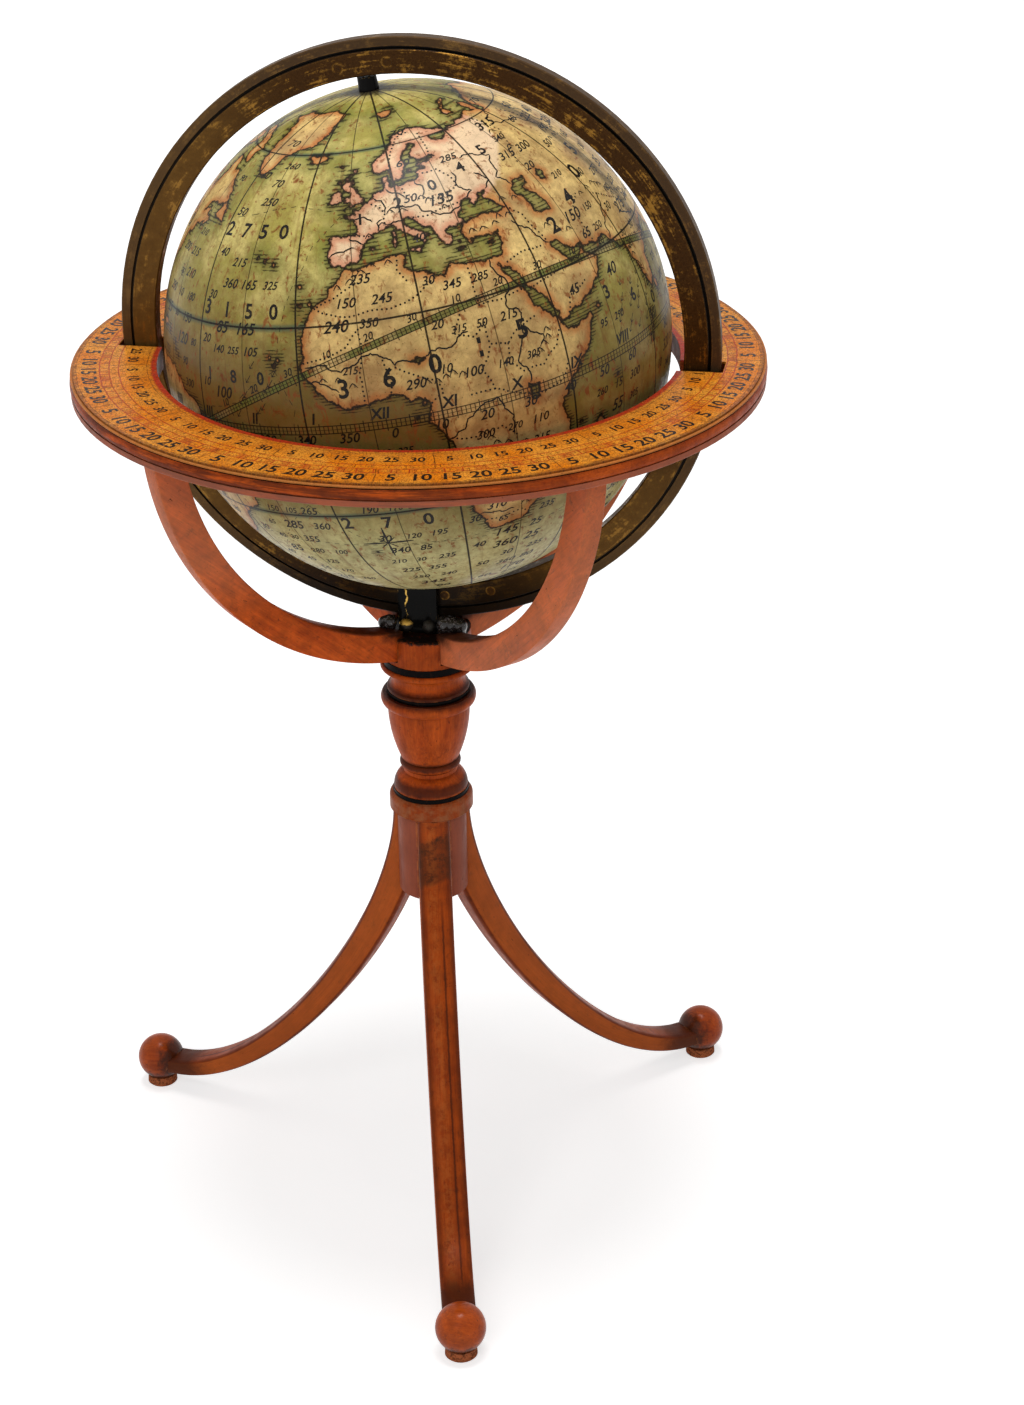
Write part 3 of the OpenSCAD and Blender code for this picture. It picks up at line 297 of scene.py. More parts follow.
# Tracks of ships, drawn as dashes
TRACKS = [
    [-6, 48.5, -14, 42, -19, 33, -22, 24, -24, 14, -20, 5, -22, -8, -24, -20, -12, -33, 8, -36,
     30, -38, 52, -32, 62, -18, 66, -5, 75, 3],
    [-24, 14, -36, 6, -46, 4],
    [-9, 50, -22, 52, -36, 50, -48, 48],
    [-24, -20, -38, -32, -52, -45, -64, -57, -80, -55, -86, -38, -100, -20, -130, -14, -148, -16],
    [-148, -16, -170, -28, 172, -42],
    [78, 5, 88, 2, 94, 0, 104, -10, 112, -9],
]
RANGES = [
    [-7, 31.5, -1, 34, 6, 35.5],
    [-1.5, 42.8, 2, 42.5],
    [6.5, 45, 9, 46.8, 13, 47],
    [19, 49.3, 25, 48, 25.5, 45.6],
    [59.5, 66, 60, 60, 59, 54],
    [39, 43.5, 46, 41.8],
    [30, 38, 36, 37.8, 41, 39.5],
    [50, 33.5, 56, 30],
    [68, 36, 76, 36.5, 82, 31, 90, 29],
    [76.5, 10.5, 74.5, 15, 74, 19],
    [80, 50, 90, 51, 100, 52],
    [98, 43, 105, 45],
    [34, 7, 37, 9, 39, 12],
    [20, -7, 26, -12, 31, -13],
    [10, 7, 14, 8, 18, 7.5],
    [22, -26, 28, -29],
    [-12, 11, -6, 9.5],
    [47, -17, 47.5, -21],
    [147, -20, 151, -30],
    [-72, -50, -71, -36, -69.5, -24, -72, -14, -78, -6, -78, 0, -74, 6],
    [-107, 28, -108, 38, -114, 46],
    [118, 60, 128, 64],
]
ROMAN = ["XII", "I", "II", "III", "IIII", "V", "VI", "VII", "VIII", "IX", "X", "XI"]
# Large spaced figures: where a row starts and ends, its figures and their height in millimetres
ROWS = [
    ((-8, 9), (33, 14), "36015", 2.5), ((-46, 45.5), (-24, 45.5), "2750", 2.0),
    ((-46, 27), (-24, 27), "3150", 2.0), ((-44, 12), (-28, 12), "180", 1.7),
    ((0, 47), (48, 57), "12045", 1.6), ((52, 33), (84, 45), "2405", 2.3),
    ((58, 14), (76, 6), "360", 1.8), ((-16, -26), (4, -27), "270", 2.1),
    ((66, -24), (96, -22), "3015", 2.2), ((150, 40), (200, 30), "1530", 2.4),
    ((-140, -20), (-100, -30), "4560", 2.4), ((-112, 40), (-80, 42), "750", 2.2),
    ((-70, -4), (-50, -12), "105", 2.0), ((100, 32), (124, 60), "3045", 2.2),
]


def metres(name, description, millimetres):
    """A length that a user may change, given in millimetres."""
    return bpy.props.FloatProperty(
        name=name, description=description, default=millimetres * MM, min=0.0, precision=5,
        subtype="DISTANCE", unit="LENGTH")


def degrees(name, description, value):
    """An angle that a user may change, given in degrees."""
    return bpy.props.FloatProperty(
        name=name, description=description, default=value * DEGREE, subtype="ANGLE",
        unit="ROTATION")


def share(name, description, value):
    """A plain share from 0 to 1."""
    return bpy.props.FloatProperty(
        name=name, description=description, default=value, min=0.0, max=1.0, subtype="FACTOR")


def colour(name, description, red, green, blue):
    """A colour that a user may change, given as it shows on a screen, each part from 0 to 255."""
    linear = [((part / 255 + 0.055) / 1.055) ** 2.4 if part > 10 else part / 255 / 12.92
              for part in (red, green, blue)]
    return bpy.props.FloatVectorProperty(
        name=name, description=description, default=linear, size=3, min=0.0, max=1.0,
        subtype="COLOR")


class MapLook(bpy.types.PropertyGroup):
    """Print, washes and varnish of the globe's map."""

    first_meridian: degrees("First meridian", "Longitude 0, from the ring's axis", 4.7)
    latitude_scale: share(
        "Latitude scale", "How far the gores have shrunk towards the equator", 0.94)
    obliquity: degrees("Obliquity", "Slope of the ecliptic to the equator", 22.8)
    node: degrees("Node", "Longitude at which the ecliptic rises over the equator", -47.2)
    line: metres("Line", "Width of the bold meridians", 0.26)
    ladder: metres("Equator band", "Width of the equator's scale", 1.05)
    coast_line: metres("Coast line", "Width of the coast's outline", 0.34)
    sea: colour("Sea", "Yellow green of the sea", 226, 208, 126)
    deep: colour("Deep sea", "Sea where its wash is thicker", 176, 164, 80)
    green: colour("Green line", "Wash along the coasts and the tropics", 92, 112, 44)
    land: colour("Land", "Parchment of Asia and Africa", 255, 218, 140)
    # Europe's own pink wash, set pale in part as a painted highlight
    europe: colour("Europe", "Pink wash of Europe", 255, 222, 182)
    wash: colour("Coastal wash", "Orange wash along the coasts", 198, 104, 44)
    ink: colour("Ink", "Printing ink", 13, 8, 3)
    brown: colour("Foxing", "Brown spots and aged varnish", 118, 52, 16)


class WoodLook(bpy.types.PropertyGroup):
    """Stained and varnished wood of the stand."""

    light: colour("Light wood", "Light part of the grain", 206, 92, 27)
    dark: colour("Dark wood", "Dark part of the grain", 132, 42, 9)
    # Old polish in the corners, laid by ambient occlusion, so also painted shade where parts meet
    grime: colour("Grime", "Old polish in the corners", 30, 10, 4)
    worn: colour("Worn edge", "Wood on worn edges", 208, 124, 66)


class PaperLook(bpy.types.PropertyGroup):
    """Printed paper of the horizon."""

    amber: colour("Paper", "Varnished paper", 232, 128, 16)
    pale: colour("Pale paper", "Paper where it is less stained", 240, 158, 52)
    red: colour("Red lines", "Painted lines and edge", 168, 30, 20)
    ink: colour("Ink", "Drawing ink", 26, 14, 8)
    large_number: metres("Large numbers", "Height of the outer numbers", 2.1)
    small_number: metres("Small numbers", "Height of the inner numbers", 1.5)


class MetalLook(bpy.types.PropertyGroup):
    """Brass, steel and japan."""

    patina: colour("Patina", "Dark old brass", 56, 34, 10)
    worn: colour("Worn brass", "Brass where it is handled", 142, 102, 40)
    bright: colour("Bright brass", "Gold worn bare on the fork and pins", 200, 160, 78)
    steel: colour("Steel", "Pole pins", 150, 150, 146)
    japan: colour("Japan", "Black varnish on brass", 9, 8, 7)


class LimbLook(bpy.types.PropertyGroup):
    """Shape of the arms and legs, as in the solids."""

    edge: metres("Arm edges", "Rounding of the arms' edges", 0.22)
    arm_width: metres("Arm width", "Width of an arm from its side", 4.5)
    arm_radius: metres("Arm radius", "Outer radius of an arm", 44.5)
    arm_centre: metres("Arm centre", "How far the arms' centre lies past the column", 0.9)
    arm_root: metres("Arm root", "Distance of an arm's root from the column's axis", 5.1)
    leg_width: metres("Leg width", "Width of a leg", 4.8)
    leg_top: metres("Leg at the top", "Thickness of a leg at the collar", 5.8)
    leg_toe: metres("Leg at the toe", "Thickness of a leg at its foot", 2.7)
    leg_ridge: metres("Leg ridge", "Height of the ridge on a leg", 0.5)
    leg_hollow: metres("Leg hollow", "Depth of the hollows beside the ridge", 0.14)
    leg_edge: metres("Leg edges", "Rounding of a leg's edges", 0.9)
    leg_length: metres("Leg length", "Length along a leg's curve", 78)
    leg_high: metres("Leg's top", "Height at which a leg starts", 61.7)
    leg_start: metres("Leg's start", "Distance of a leg's upper end from the column's axis", 3.1)
    leg_root: metres("Leg root", "Distance of a leg's housed back from the column's axis", 3.2)
    leg_plumb: metres("Leg's plumb part", "How far a leg starts straight down", 17.9)
    leg_flat: metres("Leg's flat part", "How far a leg ends nearly level", 19.9)
    leg_slope: degrees("Leg's slope", "Slope of a leg at its toe", 5)
    foot_radius: metres("Foot radius", "Distance of a ball's axis from the column's axis", 50.8)
    ball_radius: metres("Ball radius", "Radius of a ball foot", 3.65)
    ball_height: metres("Ball height", "Height of a ball's centre", 4.6)
    toe_in: metres("Toe", "How far a leg's toe goes into its ball", 1.8)


class StageLook(bpy.types.PropertyGroup):
    """Floor, lamps and camera."""

    camera: bpy.props.FloatVectorProperty(
        name="Camera", description="Place of the camera", size=3, subtype="XYZ", unit="LENGTH",
        default=(-0.01665, -0.419475, 0.28556))
    yaw: degrees("Yaw", "Direction of the camera, from the back to the right", 3.9)
    pitch: degrees("Pitch", "How far the camera looks down", 26.12)
    roll: degrees("Roll", "Roll of the camera", -0.903)
    lens: bpy.props.FloatProperty(name="Lens", description="Focal length", default=82.7,
                                  subtype="DISTANCE_CAMERA")
    sky: bpy.props.FloatProperty(name="Sky", description="Light of the room", default=0.24)
    key: bpy.props.FloatProperty(name="Key lamp", description="Power of the large lamp",
                                 default=4.4, subtype="POWER", unit="POWER")
    floor_glow: share("Floor glow", "What lifts the floor to white behind the object", 0.61)


class Wire:
    """One output of a node. Arithmetic on it adds Math nodes to its tree."""

    def __init__(self, kit, socket):
        self.kit = kit
        self.socket = socket

    def __add__(self, other):
        return self.kit.math("ADD", self, other)

    def __sub__(self, other):
        return self.kit.math("SUBTRACT", self, other)

    def __rsub__(self, other):
        return self.kit.math("SUBTRACT", other, self)

    def __mul__(self, other):
        return self.kit.math("MULTIPLY", self, other)

    def __truediv__(self, other):
        return self.kit.math("DIVIDE", self, other)

    def __abs__(self):
        return self.kit.math("ABSOLUTE", self)


class Kit:
    """Adds nodes to one tree and wires them."""

    def __init__(self, tree):
        self.tree = tree

    def feed(self, socket, value):
        """Links a wire to a socket, or sets the socket's own value."""
        if isinstance(value, Wire):
            self.tree.links.new(value.socket, socket)
        elif socket.type == "RGBA":
            socket.default_value = (*value, 1.0)[:4]
        else:
            socket.default_value = value

    def fill(self, node, **inputs):
        """Feeds a node's inputs by their names, with _ for a space."""
        for name, value in inputs.items():
            self.feed(node.inputs[name.replace("_", " ")], value)

    def surface(self, **inputs):
        """Feeds the Principled shader."""
        self.fill(self.tree.nodes["Principled BSDF"], **inputs)

    def node(self, kind, inputs=None, **settings):
        """A node with its settings and inputs."""
        made = self.tree.nodes.new("ShaderNode" + kind)
        for name, value in settings.items():
            setattr(made, name, value)
        for name, value in (inputs or {}).items():
            self.feed(made.inputs[name], value)
        return made

    def wire(self, made, output=0):
        """The output of a node as a wire."""
        return Wire(self, made.outputs[output])

    def math(self, operation, *values):
        """One Math node."""
        return self.wire(self.node("Math", dict(enumerate(values)), operation=operation))

    def step(self, value, low, high, out_low=0.0, out_high=1.0, smooth=True):
        """Eases from one value at low to another at high."""
        kind = "SMOOTHSTEP" if smooth else "LINEAR"
        return self.wire(self.node("MapRange", {
            "Value": value, "From Min": low, "From Max": high, "To Min": out_low,
            "To Max": out_high}, interpolation_type=kind))

    def line(self, distance, width, soft=0.03):
        """1 on a line of that width, in the distance's own unit."""
        return self.step(abs(distance), width / 2 + soft, width / 2 - soft)

    def every(self, value, period, start=0.0):
        """Distance from the nearest of a row of marks."""
        return abs(self.math("WRAP", value - start, period / 2, -period / 2))

    def most(self, *values):
        """The largest of several values."""
        result = values[0]
        for value in values[1:]:
            result = self.math("MAXIMUM", result, value)
        return result

    def mix(self, factor, first, second):
        """A mix of two colours."""
        made = self.node("Mix", {0: factor}, data_type="RGBA")
        self.feed(made.inputs[6], first)
        self.feed(made.inputs[7], second)
        return self.wire(made, 2)

    def over(self, base, *layers):
        """Colours laid over a base in turn, each with the mask that shows it."""
        for mask, colour in layers:
            base = self.mix(mask, base, colour)
        return base

    def noise(self, place, scale, detail=2.0, roughness=0.5, distortion=0.0):
        """Fractal noise, about 0.5 on average."""
        return self.wire(self.node("TexNoise", {
            "Vector": place, "Scale": scale, "Detail": detail, "Roughness": roughness,
            "Distortion": distortion}), "Fac")

    def ragged(self, place, scale, detail, roughness, reach):
        """Fractal noise about 0, whose lowest and highest lie reach apart."""
        return (self.noise(place, scale, detail, roughness) - 0.5) * reach

    def cells(self, place, scale, feature="F1"):
        """Distance to the nearest cell point or cell edge."""
        made = self.node("TexVoronoi", {"Vector": place, "Scale": scale}, feature=feature)
        return self.wire(made, "Distance")

    def split(self, place):
        """The three parts of a vector."""
        made = self.node("SeparateXYZ", {"Vector": place})
        return [Wire(self, output) for output in made.outputs]

    def join(self, x, y, z):
        """A vector from three values."""
        return self.wire(self.node("CombineXYZ", {"X": x, "Y": y, "Z": z}))

    def polar(self, place):
        """Distance from the Z axis, angle round it in degrees, and height."""
        x, y, z = self.split(place)
        return self.math("SQRT", x * x + y * y), self.math("ARCTAN2", y, x) / DEGREE, z

    def dot(self, place, direction):
        """How far a place lies along a direction."""
        made = self.node("VectorMath", {0: place, 1: tuple(direction)}, operation="DOT_PRODUCT")
        return self.wire(made, "Value")

    def object_place(self, centre=(0, 0, 0), axes=None, scale=1000.0):
        """Object coordinates from a centre, along the rows of axes, in millimetres."""
        axes = axes or Matrix.Identity(3)
        shift = -scale * (axes @ Vector(centre))
        return self.wire(self.node("Mapping", {
            "Vector": self.wire(self.node("TexCoord"), "Object"), "Location": shift,
            "Rotation": axes.to_euler(), "Scale": (scale,) * 3}))

    def stretched(self, place, scale):
        """A place scaled along each axis."""
        return self.wire(self.node("Mapping", {"Vector": place, "Scale": scale}))

    def attribute(self, name, output="Fac"):
        """A value kept on the piece's own mesh."""
        return self.wire(self.node("Attribute", attribute_name=name), output)

    def group(self, name, **inputs):
        """A shared group of nodes with its own values. Returns its outputs by name."""
        made = self.node("Group", node_tree=shared(name))
        self.fill(made, **inputs)
        return {output.name: Wire(self, output) for output in made.outputs}

    def bump(self, height, strength, distance=0.05 * MM):
        """A normal from a height."""
        return self.wire(self.node("Bump", {
            "Height": height, "Strength": strength, "Distance": distance}), "Normal")


def effect(name, inputs, outputs):
    """Starts a shared group of nodes. Returns its tree, kit, input wires and output node."""
    tree = bpy.data.node_groups.new(name, "ShaderNodeTree")
    for label, kind, default in inputs:
        socket = tree.interface.new_socket(label, in_out="INPUT", socket_type="NodeSocket" + kind)
        if default is not None:
            socket.default_value = default
    for label, kind in outputs:
        tree.interface.new_socket(label, in_out="OUTPUT", socket_type="NodeSocket" + kind)
    kit = Kit(tree)
    source = tree.nodes.new("NodeGroupInput")
    sink = tree.nodes.new("NodeGroupOutput")
    given = {socket.name: Wire(kit, socket) for socket in source.outputs if socket.name}
    return tree, kit, given, sink


def make_wood_grain():
    """Wood with its grain along Z: streaks, fibres and short dark pores."""
    tree, kit, given, sink = effect(
        "wood_grain",
        [("Vector", "Vector", None), ("Light", "Color", None), ("Dark", "Color", None),
         ("Pores", "Float", 0.5), ("Figure", "Float", 1.0)],
        [("Color", "Color"), ("Height", "Float"), ("Mask", "Float")])
    place = given["Vector"]
    figure = kit.noise(kit.stretched(place, (1, 1, 0.07)), 0.5, 4.0, 0.6, 0.8)
    fibre = kit.noise(kit.stretched(place, (1, 1, 0.05)), 3.4, 3.0, 0.6)
    blotch = kit.ragged(place, 0.13, 3.0, 0.55, 0.9)
    tone = (figure - 0.5) * 1.9 * given["Figure"] + (fibre - 0.5) * 0.8 + blotch + 0.55
    tone = kit.step(tone, 0.0, 1.0, smooth=False)
    pore = kit.step(kit.noise(kit.stretched(place, (1, 1, 0.13)), 5.5, 2.0, 0.6), 0.6, 0.68)
    pore = pore * given["Pores"]
    base = kit.mix(tone, given["Dark"], given["Light"])
    kit.fill(sink, Color=kit.mix(pore * 0.6, base, (0.03, 0.01, 0.005)), Height=fibre - pore,
             Mask=tone)
    return tree


def make_handling():
    """Where edges stand out, and where corners and gaps between parts darken: dirt and painted
    shade.
    """
    tree, kit, given, sink = effect(
        "wear_dirt_and_shade",
        [("Vector", "Vector", None), ("Edge", "Float", 0.0003), ("Corner", "Float", 0.002)],
        [("Wear", "Float"), ("Grime", "Float")])
    edge = kit.node("AmbientOcclusion", {"Distance": given["Edge"]}, samples=6, inside=True,
                    only_local=True)
    corner = kit.node("AmbientOcclusion", {"Distance": given["Corner"]}, samples=6)
    patch = kit.noise(given["Vector"], 0.9, 3.0, 0.6)
    wear = kit.step(kit.wire(edge, "AO"), 0.9, 0.45) * kit.step(patch, 0.38, 0.62)
    # Ambient occlusion darkens corners and gaps between parts: dirt and painted shade
    grime = kit.step(kit.wire(corner, "AO") + (patch - 0.5) * 0.35, 0.92, 0.3)
    kit.fill(sink, Wear=wear, Grime=grime)
    return tree


def make_crazing():
    """Fine cracks in old varnish or glue."""
    tree, kit, given, sink = effect(
        "crazing", [("Vector", "Vector", None), ("Size", "Float", 1.0), ("Width", "Float", 0.05)],
        [("Crack", "Float")])
    bent = kit.noise(given["Vector"], 0.8, 2.0)
    place = kit.node("VectorMath", {0: given["Vector"], 1: kit.join(bent, bent, bent)},
                     operation="ADD")
    edge = kit.cells(kit.wire(place), kit.math("DIVIDE", 1.0, given["Size"]), "DISTANCE_TO_EDGE")
    kit.fill(sink, Crack=kit.step(edge, given["Width"], 0.0))
    return tree


def make_foxing():
    """Brown spots and larger stains."""
    tree, kit, given, sink = effect(
        "foxing", [("Vector", "Vector", None), ("Amount", "Float", 0.5)],
        [("Spot", "Float"), ("Stain", "Float")])
    amount = given["Amount"]
    fine = kit.noise(given["Vector"], 0.55, 4.0, 0.65, 0.4)
    broad = kit.noise(given["Vector"], 0.11, 4.0, 0.6)
    low = 0.74 - amount * 0.16
    kit.fill(sink, Spot=kit.step(fine, low, low + 0.12), Stain=kit.step(broad, 0.38, 0.72) * amount)
    return tree


def shared(name):
    """A shared group, made at its first use."""
    makers = {"wood_grain": make_wood_grain, "wear_dirt_and_shade": make_handling, "crazing": make_crazing,
              "foxing": make_foxing}
    return bpy.data.node_groups.get(name) or makers[name]()


def finish(name, gloss=0.1, **constants):
    """A material with one Principled shader. Returns it with its kit."""
    material = bpy.data.materials.new(name)
    material.use_nodes = True
    kit = Kit(material.node_tree)
    kit.surface(Specular_IOR_Level=gloss, **constants)
    return material, kit


def add_object(name, data):
    """A new object in the scene."""
    made = bpy.data.objects.new(name, data)
    bpy.context.scene.collection.objects.link(made)
    return made


def dress(material, *names):
    """Puts a material on CAD nodes."""
    for name in names:
        mesh = NODES[name].data
        if not mesh.materials:
            mesh.materials.append(material)
        for index in range(len(mesh.materials)):
            mesh.materials[index] = material


def piece(name, bm, material, body, replaced=(), sharp=None):
    """A finished mesh as an object that rides on a body."""
    mesh = bpy.data.meshes.new(name)
    bm.to_mesh(mesh)
    bm.free()
    mesh.materials.append(material)
    mesh.shade_smooth()
    if sharp is not None:
        mesh.set_sharp_from_angle(angle=sharp * DEGREE)
    made = add_object(name, mesh)
    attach(made, body)
    if replaced:
        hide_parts(*replaced)
    return made


def ease(bm, edges, width, segments):
    """Rounds edges."""
    bmesh.ops.bevel(bm, geom=edges, offset=width, offset_type="OFFSET", segments=segments,
                    profile=0.5, affect="EDGES", material=-1, clamp_overlap=True)


def cut(bm, place, way, **settings):
    """Cuts a mesh along a plane."""
    bmesh.ops.bisect_plane(bm, geom=[*bm.verts, *bm.edges, *bm.faces], plane_co=place,
                           plane_no=way, **settings)


def set_round_column(bm, angle):
    """Turns a mesh round the Z axis and moves it to the column."""
    place = Matrix.Translation(COLUMN) @ Matrix.Rotation(angle, 4, "Z")
    bmesh.ops.transform(bm, matrix=place, verts=bm.verts)


# Map


def map_axes(look):
    """Rows are the map's own axes: longitude 0, longitude 90 east, and the north pole."""
    east = POLE.cross(RING_AXIS)
    zero = RING_AXIS * math.cos(look.first_meridian) + east * math.sin(look.first_meridian)
    return Matrix((zero, POLE.cross(zero), POLE))


def globe_points(points, look, radius=GLOBE_R):
    """Places from the globe's centre along the map's axes, for longitudes and latitudes in turn."""
    lon, lat = np.radians(np.array(points, float).reshape(-1, 2)).T
    lat = lat * look.latitude_scale
    return radius * np.stack([np.cos(lat) * np.cos(lon), np.cos(lat) * np.sin(lon), np.sin(lat)], 1)


def wavering(line, dice, closed=True, longest=1.3, sway=0.16):
    """A line of the atlas as points, with its long sides broken into shorter ones that waver."""
    points = list(zip(line[::2], line[1::2]))
    result = []
    for start, end in zip(points, points[1:] + points[:closed]):
        row = [start, end]
        while True:
            shrink = max(0.3, math.cos(start[1] * DEGREE))
            gap = math.hypot((row[1][0] - row[0][0]) * shrink, row[1][1] - row[0][1])
            if gap < longest:
                break
            finer = [row[0]]
            for one, two in zip(row, row[1:]):
                shift = dice.uniform(-sway, sway)
                finer.append(((one[0] + two[0]) / 2 - (two[1] - one[1]) * shift / shrink,
                              (one[1] + two[1]) / 2 + (two[0] - one[0]) * shift * shrink))
                finer.append(two)
            row = finer
        result += row[:-1]
    return result if closed else result + [points[-1]]


def inside(outline, lon, lat):
    """Which places lie inside a closed outline."""
    found = np.zeros(len(lon), bool)
    xs, ys = np.array(outline, float).reshape(-1, 2).T
    x0, y0, x1, y1 = xs, ys, np.roll(xs, -1), np.roll(ys, -1)
    for turn in (-360.0, 0.0, 360.0):
        x = lon + turn
        near = np.flatnonzero((x > xs.min()) & (x < xs.max()) & (lat > ys.min()) & (lat < ys.max()))
        if not len(near):
            continue
        px, py = x[near][:, None], lat[near][:, None]
        with np.errstate(divide="ignore", invalid="ignore"):
            cross = (y0 > py) != (y1 > py)
            left = px < (x1 - x0) * (py - y0) / (y1 - y0) + x0
        found[near] |= (np.sum(cross & left, 1) % 2).astype(bool)
    return found


class Coasts:
    """The map's coasts: how far any place on the globe is from them, and on which side."""

    spacing = 0.25 * MM

    def __init__(self, look):
        dice = random.Random(7)
        self.look = look
        self.land = [wavering(line, dice) for line in [OLD_WORLD, NEW_WORLD, *ISLANDS]]
        self.water = [wavering(line, dice) for line in LAKES]
        lines = [globe_points(line, look) for line in self.land + self.water]
        self.starts = np.concatenate(lines)
        self.ends = np.concatenate([np.roll(places, -1, 0) for places in lines])
        lengths = np.linalg.norm(self.ends - self.starts, axis=1)
        steps = np.maximum(1, np.ceil(lengths / self.spacing).astype(int))
        self.segment = np.repeat(np.arange(len(lengths)), steps)
        along = np.concatenate([np.arange(n) / n for n in steps])[:, None]
        samples = self.starts[self.segment] * (1 - along) + self.ends[self.segment] * along
        self.tree = KDTree(len(samples))
        for index, place in enumerate(samples):
            self.tree.insert(place, index)
        self.tree.balance()

    def distance(self, places):
        """Distance to the coast in metres, more than 0 on land, and which places are in Europe."""
        nearest = self.segment[np.array([self.tree.find(place)[1] for place in places])]
        gap = np.full(len(places), 1.0)
        for shift in (-1, 0, 1):
            which = np.clip(nearest + shift, 0, len(self.starts) - 1)
            start, side = self.starts[which], self.ends[which] - self.starts[which]
            length = np.maximum(np.einsum("ij,ij->i", side, side), 1e-18)
            along = np.clip(np.einsum("ij,ij->i", places - start, side) / length, 0, 1)
            gap = np.minimum(gap, np.linalg.norm(places - start - along[:, None] * side, axis=1))
        lon = np.degrees(np.arctan2(places[:, 1], places[:, 0]))
        lat = np.degrees(np.arcsin(places[:, 2] / np.linalg.norm(places, axis=1)))
        lat = lat / self.look.latitude_scale
        land = np.zeros(len(places), bool)
        for line in self.land:
            land |= inside(line, lon, lat)
        for line in self.water:
            land &= ~inside(line, lon, lat)
        signed = np.where(land, gap, -gap)
        for *where, size in np.reshape(ISLETS, (-1, 3)):
            middle = globe_points(where, self.look)[0]
            signed = np.maximum(signed, size * MM - np.linalg.norm(places - middle, axis=1))
        return signed, inside(EUROPE, lon, lat)


def ecliptic_axes(look):
    """Where the ecliptic rises over the equator, and its pole, along the map's own axes."""
    node = Vector((math.cos(look.node), math.sin(look.node), 0))
    tilt, fall = math.cos(look.obliquity), math.sin(look.obliquity)
    return node, Vector((fall * node.y, -fall * node.x, tilt))


